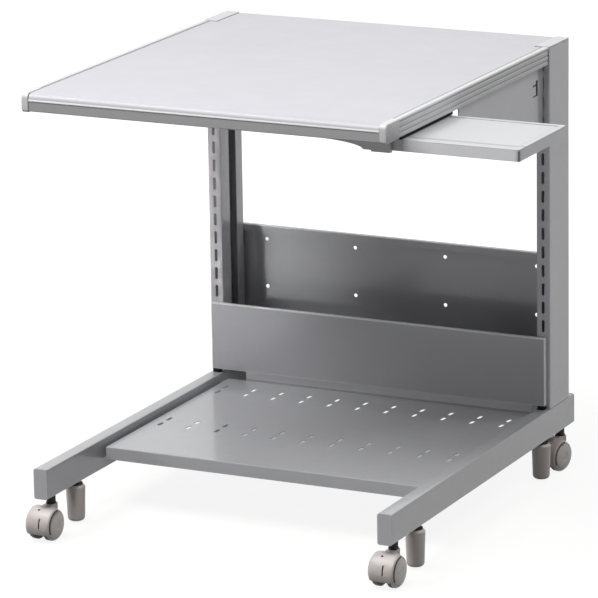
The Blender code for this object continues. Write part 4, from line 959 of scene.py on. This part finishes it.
def cap_outline(front, rear, foot, top, inset):
    """Side outline of a corner cap as (y, z), drawn in by an inset and rounder the further in it is."""
    share = inset / CAP_RIM
    head = CAP_TOP_ROUND + share * (CAP_FACE_TOP_ROUND - CAP_TOP_ROUND)
    toe = CAP_FOOT_ROUND + share * (CAP_FACE_FOOT_ROUND - CAP_FOOT_ROUND)
    points = [(rear, top - inset), (rear, foot + inset)]
    points += arc((front + inset + toe, foot + inset + toe), toe, -QUARTER, -math.pi, facets=8)
    points += arc((front + inset + head, top - inset - head), head, math.pi, QUARTER, facets=12)
    return points


def corner_caps():
    """Caps at the front of the mouldings, a little proud of the desktop's edge, with a painted highlight
    on the rim and painted shade on the edge against the board.
    """
    for side, way in SIDE_WAYS:
        node = f"{side}_corner_cap"
        low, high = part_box(node)
        inner = low.x if way > 0 else high.x
        width = high.x - low.x
        steps = [(0, CAP_EDGE), (CAP_EDGE, 0)]
        steps += [(width - back * CAP_RIM, inset * CAP_RIM) for back, inset in CAP_RIM_STEPS]
        loops = []
        for u, inset in steps:
            outline = cap_outline(low.y - CAP_PROUD, high.y, low.z - CAP_BELOW, high.z, inset)
            loops.append([(inner + way * u, y, z) for y, z in outline])
        bands = [GROOVE, ROLL, ROLL, ROLL, RIB]
        piece = skinned(f"{node}_rimmed", loops, bands, [RIB_FINISH, GROOVE_SHADE_FINISH, ROLL_HIGHLIGHT_FINISH])
        stands_for(piece, node, "frame")


def edge_bead():
    """Bead along the desktop's front edge, between its face and its rolled top, whose bright colour also
    paints the highlight there.
    """
    front = BOARD_LOW.y
    outline = [
        (front + BEAD_PROUD, EDGE_LINE_TOP),
        (front - BEAD_TOP_SHARE * BEAD_PROUD, EDGE_LINE_TOP - BEAD_TOP_DROP),
        (front - BEAD_PROUD, EDGE_LINE_TOP - BEAD_CREST_DROP),
        (front - BEAD_PROUD, EDGE_FACE_TOP + BEAD_CREST_RISE),
        (front - BEAD_FOOT_SHARE * BEAD_PROUD, EDGE_FACE_TOP),
        (front + BEAD_PROUD, EDGE_FACE_TOP),
    ]
    loops = along_x(outline, (BOARD_LOW.x, BOARD_HIGH.x))
    adds_to_frame(skinned("desk_board_front_bead", loops, [FIRST], [BEAD_FINISH]))


def shelf_channel():
    """Stiffening channel under the shelf, its web against the sheet behind most of the front holes."""
    middle = SHELF_LOW.y + sum(SLOT_FRONT_ROWS) / 2
    top = SHELF_TOP - SHELF_WALL - CHANNEL_GAP
    foot = top - CHANNEL_HEIGHT
    front = middle - CHANNEL_HALF_DEPTH
    rear = middle + CHANNEL_HALF_DEPTH
    bend = 2 * CHANNEL_WALL
    front_bend = (front + bend, top - bend)
    rear_bend = (rear - bend, top - bend)
    outer = arc(front_bend, bend, math.pi, QUARTER, facets=5)
    outer += arc(rear_bend, bend, QUARTER, 0, facets=5)
    inner = arc(rear_bend, bend - CHANNEL_WALL, 0, QUARTER, facets=5)
    inner += arc(front_bend, bend - CHANNEL_WALL, QUARTER, math.pi, facets=5)
    outline = [(front, foot), *outer, (rear, foot)]
    outline += [(rear - CHANNEL_WALL, foot), *inner, (front + CHANNEL_WALL, foot)]
    loops = along_x(outline, (MIDDLE.x + CHANNEL_START, SHELF_HIGH.x - CHANNEL_END_GAP))
    adds_to_frame(skinned("shelf_channel", loops, [FIRST], [CHANNEL_FINISH]))


def shelf_sheet():
    """Shelf with its holes opened to the size that shows.

    Its rear fold is kept clear of the view through them.
    """
    mesh = NODES["shelf"].data.copy()
    for point in mesh.vertices:
        place = point.co
        column = round((place.x - MIDDLE.x - SLOT_FIRST) / SLOT_PITCH)
        centre_x = MIDDLE.x + SLOT_FIRST + column * SLOT_PITCH
        for row in SLOT_FRONT_ROWS + SLOT_REAR_ROWS:
            offset = Vector((place.x - centre_x, place.y - SHELF_LOW.y - row))
            if offset.length < SLOT_REACH and place.z > SHELF_TOP - 2 * SHELF_WALL:
                place.x += (SLOT_STRETCH.x - 1) * offset.x
                place.y += (SLOT_STRETCH.y - 1) * offset.y
                break
        if place.y > SHELF_HIGH.y - 2 * SHELF_WALL and place.z < SHELF_LOW.z + SHELF_WALL:
            place.z += REAR_FOLD_RISE
    piece = bpy.data.objects.new("shelf_punched", mesh)
    bpy.context.scene.collection.objects.link(piece)
    smooth(piece)
    stands_for(piece, "shelf", "frame")


def tray_shade_felt():
    """Black felt strip under the right moulding, just clear of the tray that slides below it, whose black
    also paints the shade in the slot.
    """
    moulding_low, moulding_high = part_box("right_moulding")
    outer = moulding_high.x - FELT_INSET
    inner = outer - FELT_THICKNESS
    top = moulding_low.z
    foot = TRAY_HIGH.z + FELT_CLEARANCE
    outline = [(inner, top), (inner, foot)]
    outline += arc((outer - FELT_ROUND, foot + FELT_ROUND), FELT_ROUND, -QUARTER, 0, facets=3)
    outline.append((outer, top))
    loops = along_y(outline, (TRAY_LOW.y - FELT_OVERHANG, TRAY_HIGH.y + FELT_OVERHANG))
    adds_to_frame(skinned("tray_slot_shade_felt", loops, [FIRST], [FELT_AND_SHADE_FINISH]))


def shade_pads():
    """Black pads under the lower corners of the front panel, on the rails and before the posts, which
    paint the shade in the gap there.
    """
    for side, way in SIDE_WAYS:
        edge = FRONT_PANEL_HIGH.x if way > 0 else FRONT_PANEL_LOW.x
        foot = RAILS[side][1].z + PAD_GAP
        top = FRONT_PANEL_LOW.z - PAD_GAP
        section = [(PAD_WIDTH, top), (PAD_WIDTH, foot)]
        section += arc((PAD_ROUND, foot + PAD_ROUND), PAD_ROUND, -QUARTER, -math.pi, facets=3)
        section += arc((PAD_ROUND, top - PAD_ROUND), PAD_ROUND, math.pi, QUARTER, facets=3)
        outline = [(edge - way * (PAD_INSET + u), z) for u, z in section]
        loops = along_y(outline, (FRONT_PANEL_LOW.y + PAD_FRONT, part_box(f"{side}_post")[0].y - PAD_GAP))
        adds_to_frame(skinned(f"{side}_panel_shade_pad", loops, [FIRST], [FELT_AND_SHADE_FINISH]))


wheels()
feet()
studs()
stems()
mouldings()
corner_caps()
edge_bead()
shelf_channel()
shelf_sheet()
tray_shade_felt()
shade_pads()


def seen_rays(tree):
    """Socket that is 1 for rays from the camera, in reflections and through glass, and 0 for light."""
    path = tree.nodes.new("ShaderNodeLightPath")
    seen = path.outputs["Is Camera Ray"]
    for ray in ("Is Glossy Ray", "Is Transmission Ray"):
        both = tree.nodes.new("ShaderNodeMath")
        both.operation = "MAXIMUM"
        tree.links.new(seen, both.inputs[0])
        tree.links.new(path.outputs[ray], both.inputs[1])
        seen = both.outputs[0]
    return seen


def floor_white():
    """Material of the floor, lifted to white for the camera the further it is from the desk."""
    material = bpy.data.materials.new("floor_white")
    material.use_nodes = True
    tree = material.node_tree
    tree.nodes.clear()
    output = tree.nodes.new("ShaderNodeOutputMaterial")
    diffuse = tree.nodes.new("ShaderNodeBsdfDiffuse")
    diffuse.inputs["Color"].default_value = FLOOR_COLOUR
    glow = tree.nodes.new("ShaderNodeEmission")
    place = tree.nodes.new("ShaderNodeTexCoord")
    away = tree.nodes.new("ShaderNodeVectorMath")
    away.operation = "DISTANCE"
    away.inputs[1].default_value = MIDDLE
    level = tree.nodes.new("ShaderNodeMapRange")
    level.inputs["From Min"].default_value = FLOOR_NEAR
    level.inputs["From Max"].default_value = FLOOR_FAR
    level.inputs["To Min"].default_value = FLOOR_LIFT
    level.inputs["To Max"].default_value = 1.0
    lift = tree.nodes.new("ShaderNodeMath")
    lift.operation = "MULTIPLY"
    both = tree.nodes.new("ShaderNodeAddShader")
    tree.links.new(place.outputs["Object"], away.inputs[0])
    tree.links.new(away.outputs["Value"], level.inputs["Value"])
    tree.links.new(level.outputs["Result"], lift.inputs[1])
    tree.links.new(seen_rays(tree), lift.inputs[0])
    tree.links.new(lift.outputs[0], glow.inputs["Strength"])
    tree.links.new(diffuse.outputs[0], both.inputs[0])
    tree.links.new(glow.outputs[0], both.inputs[1])
    tree.links.new(both.outputs[0], output.inputs["Surface"])
    return material


def floor():
    """White floor. The camera sees it lifted to white, with only a faint shadow left."""
    size = FLOOR_HALF_SIZE
    mesh = bpy.data.meshes.new("floor")
    corners = [(-size, -size, 0), (size, -size, 0), (size, size, 0), (-size, size, 0)]
    mesh.from_pydata(corners, [], [(0, 1, 2, 3)])
    mesh.materials.append(floor_white())
    made = bpy.data.objects.new("floor", mesh)
    made.location.z = -FLOOR_DROP
    bpy.context.scene.collection.objects.link(made)


def world_light():
    """Even white surround: white to the camera, in reflections and through glass, softer as light."""
    world = bpy.data.worlds.new("studio")
    world.use_nodes = True
    tree = world.node_tree
    back = tree.nodes["Background"]
    tint = tree.nodes.new("ShaderNodeMix")
    tint.data_type = "RGBA"
    tint.inputs[MIX_FIRST].default_value = WORLD_TINT
    tint.inputs[MIX_SECOND].default_value = WHITE
    tree.links.new(seen_rays(tree), tint.inputs[MIX_FACTOR])
    tree.links.new(tint.outputs[MIX_RESULT], back.inputs["Color"])
    strength = tree.nodes.new("ShaderNodeMapRange")
    strength.inputs["To Min"].default_value = WORLD_LIGHT
    strength.inputs["To Max"].default_value = 1.0
    tree.links.new(seen_rays(tree), strength.inputs["Value"])
    tree.links.new(strength.outputs["Result"], back.inputs["Strength"])
    bpy.context.scene.world = world


def softbox(name, place, size, power, target=DESK_HEART, shine=True, spread=180):
    """Square soft lamp, placed in the desk's own frame and aimed at a point in it.

    Shine lets gloss show it, and spread is the angle of a grid before it, in degrees.
    """
    data = bpy.data.lights.new(name, "AREA")
    data.shape = "SQUARE"
    data.size = size
    data.energy = power
    data.spread = math.radians(spread)
    lamp = bpy.data.objects.new(name, data)
    here = MIDDLE + Vector(place)
    aim = MIDDLE + Vector(target) - here
    lamp.location = here
    lamp.rotation_euler = aim.to_track_quat("-Z", "Y").to_euler()
    lamp.visible_camera = False
    lamp.visible_glossy = shine
    bpy.context.scene.collection.objects.link(lamp)


def lamps():
    """Soft lamps from above, a gridded one for the left post and one behind the desk."""
    softbox("key_light", (-1.45, -1.22, 3.15), size=1.4, power=65)
    softbox("front_light", (0.0, -2.05, 3.00), size=1.0, power=44)
    softbox("right_light", (2.05, -0.70, 2.60), size=1.2, power=12)
    softbox("rear_light", (1.91, 1.34, 2.78), size=1.2, power=19)
    softbox(
        "low_light",
        (-1.20, -2.00, 0.55),
        size=0.3,
        power=0.15,
        target=(-0.40, 0.15, 0.36),
        shine=False,
        spread=8,
    )
    softbox("back_light", (-0.80, 2.90, 0.95), size=1.4, power=30, target=(0, 0, 0.40), shine=False)


def camera():
    """The photograph's camera, from its yaw, pitch and roll."""
    data = bpy.data.cameras.new("camera")
    data.sensor_width = SENSOR_WIDTH
    data.lens = FOCAL_PIXELS / IMAGE_PIXELS * SENSOR_WIDTH
    data.clip_end = CAMERA_REACH
    ahead = Vector((-math.sin(CAMERA_YAW), math.cos(CAMERA_YAW), 0))
    level = Vector((math.cos(CAMERA_YAW), math.sin(CAMERA_YAW), 0))
    forward = math.cos(CAMERA_PITCH) * ahead - math.sin(CAMERA_PITCH) * Vector((0, 0, 1))
    upright = level.cross(forward)
    right = math.cos(CAMERA_ROLL) * level + math.sin(CAMERA_ROLL) * upright
    up = math.cos(CAMERA_ROLL) * upright - math.sin(CAMERA_ROLL) * level
    turn = Matrix((right, up, -forward)).transposed().to_4x4()
    made = bpy.data.objects.new("camera", data)
    made.matrix_world = Matrix.Translation(MIDDLE + CAMERA_PLACE) @ turn
    bpy.context.scene.collection.objects.link(made)
    bpy.context.scene.camera = made


floor()
world_light()
lamps()
camera()
bpy.context.scene.view_settings.view_transform = "Standard"
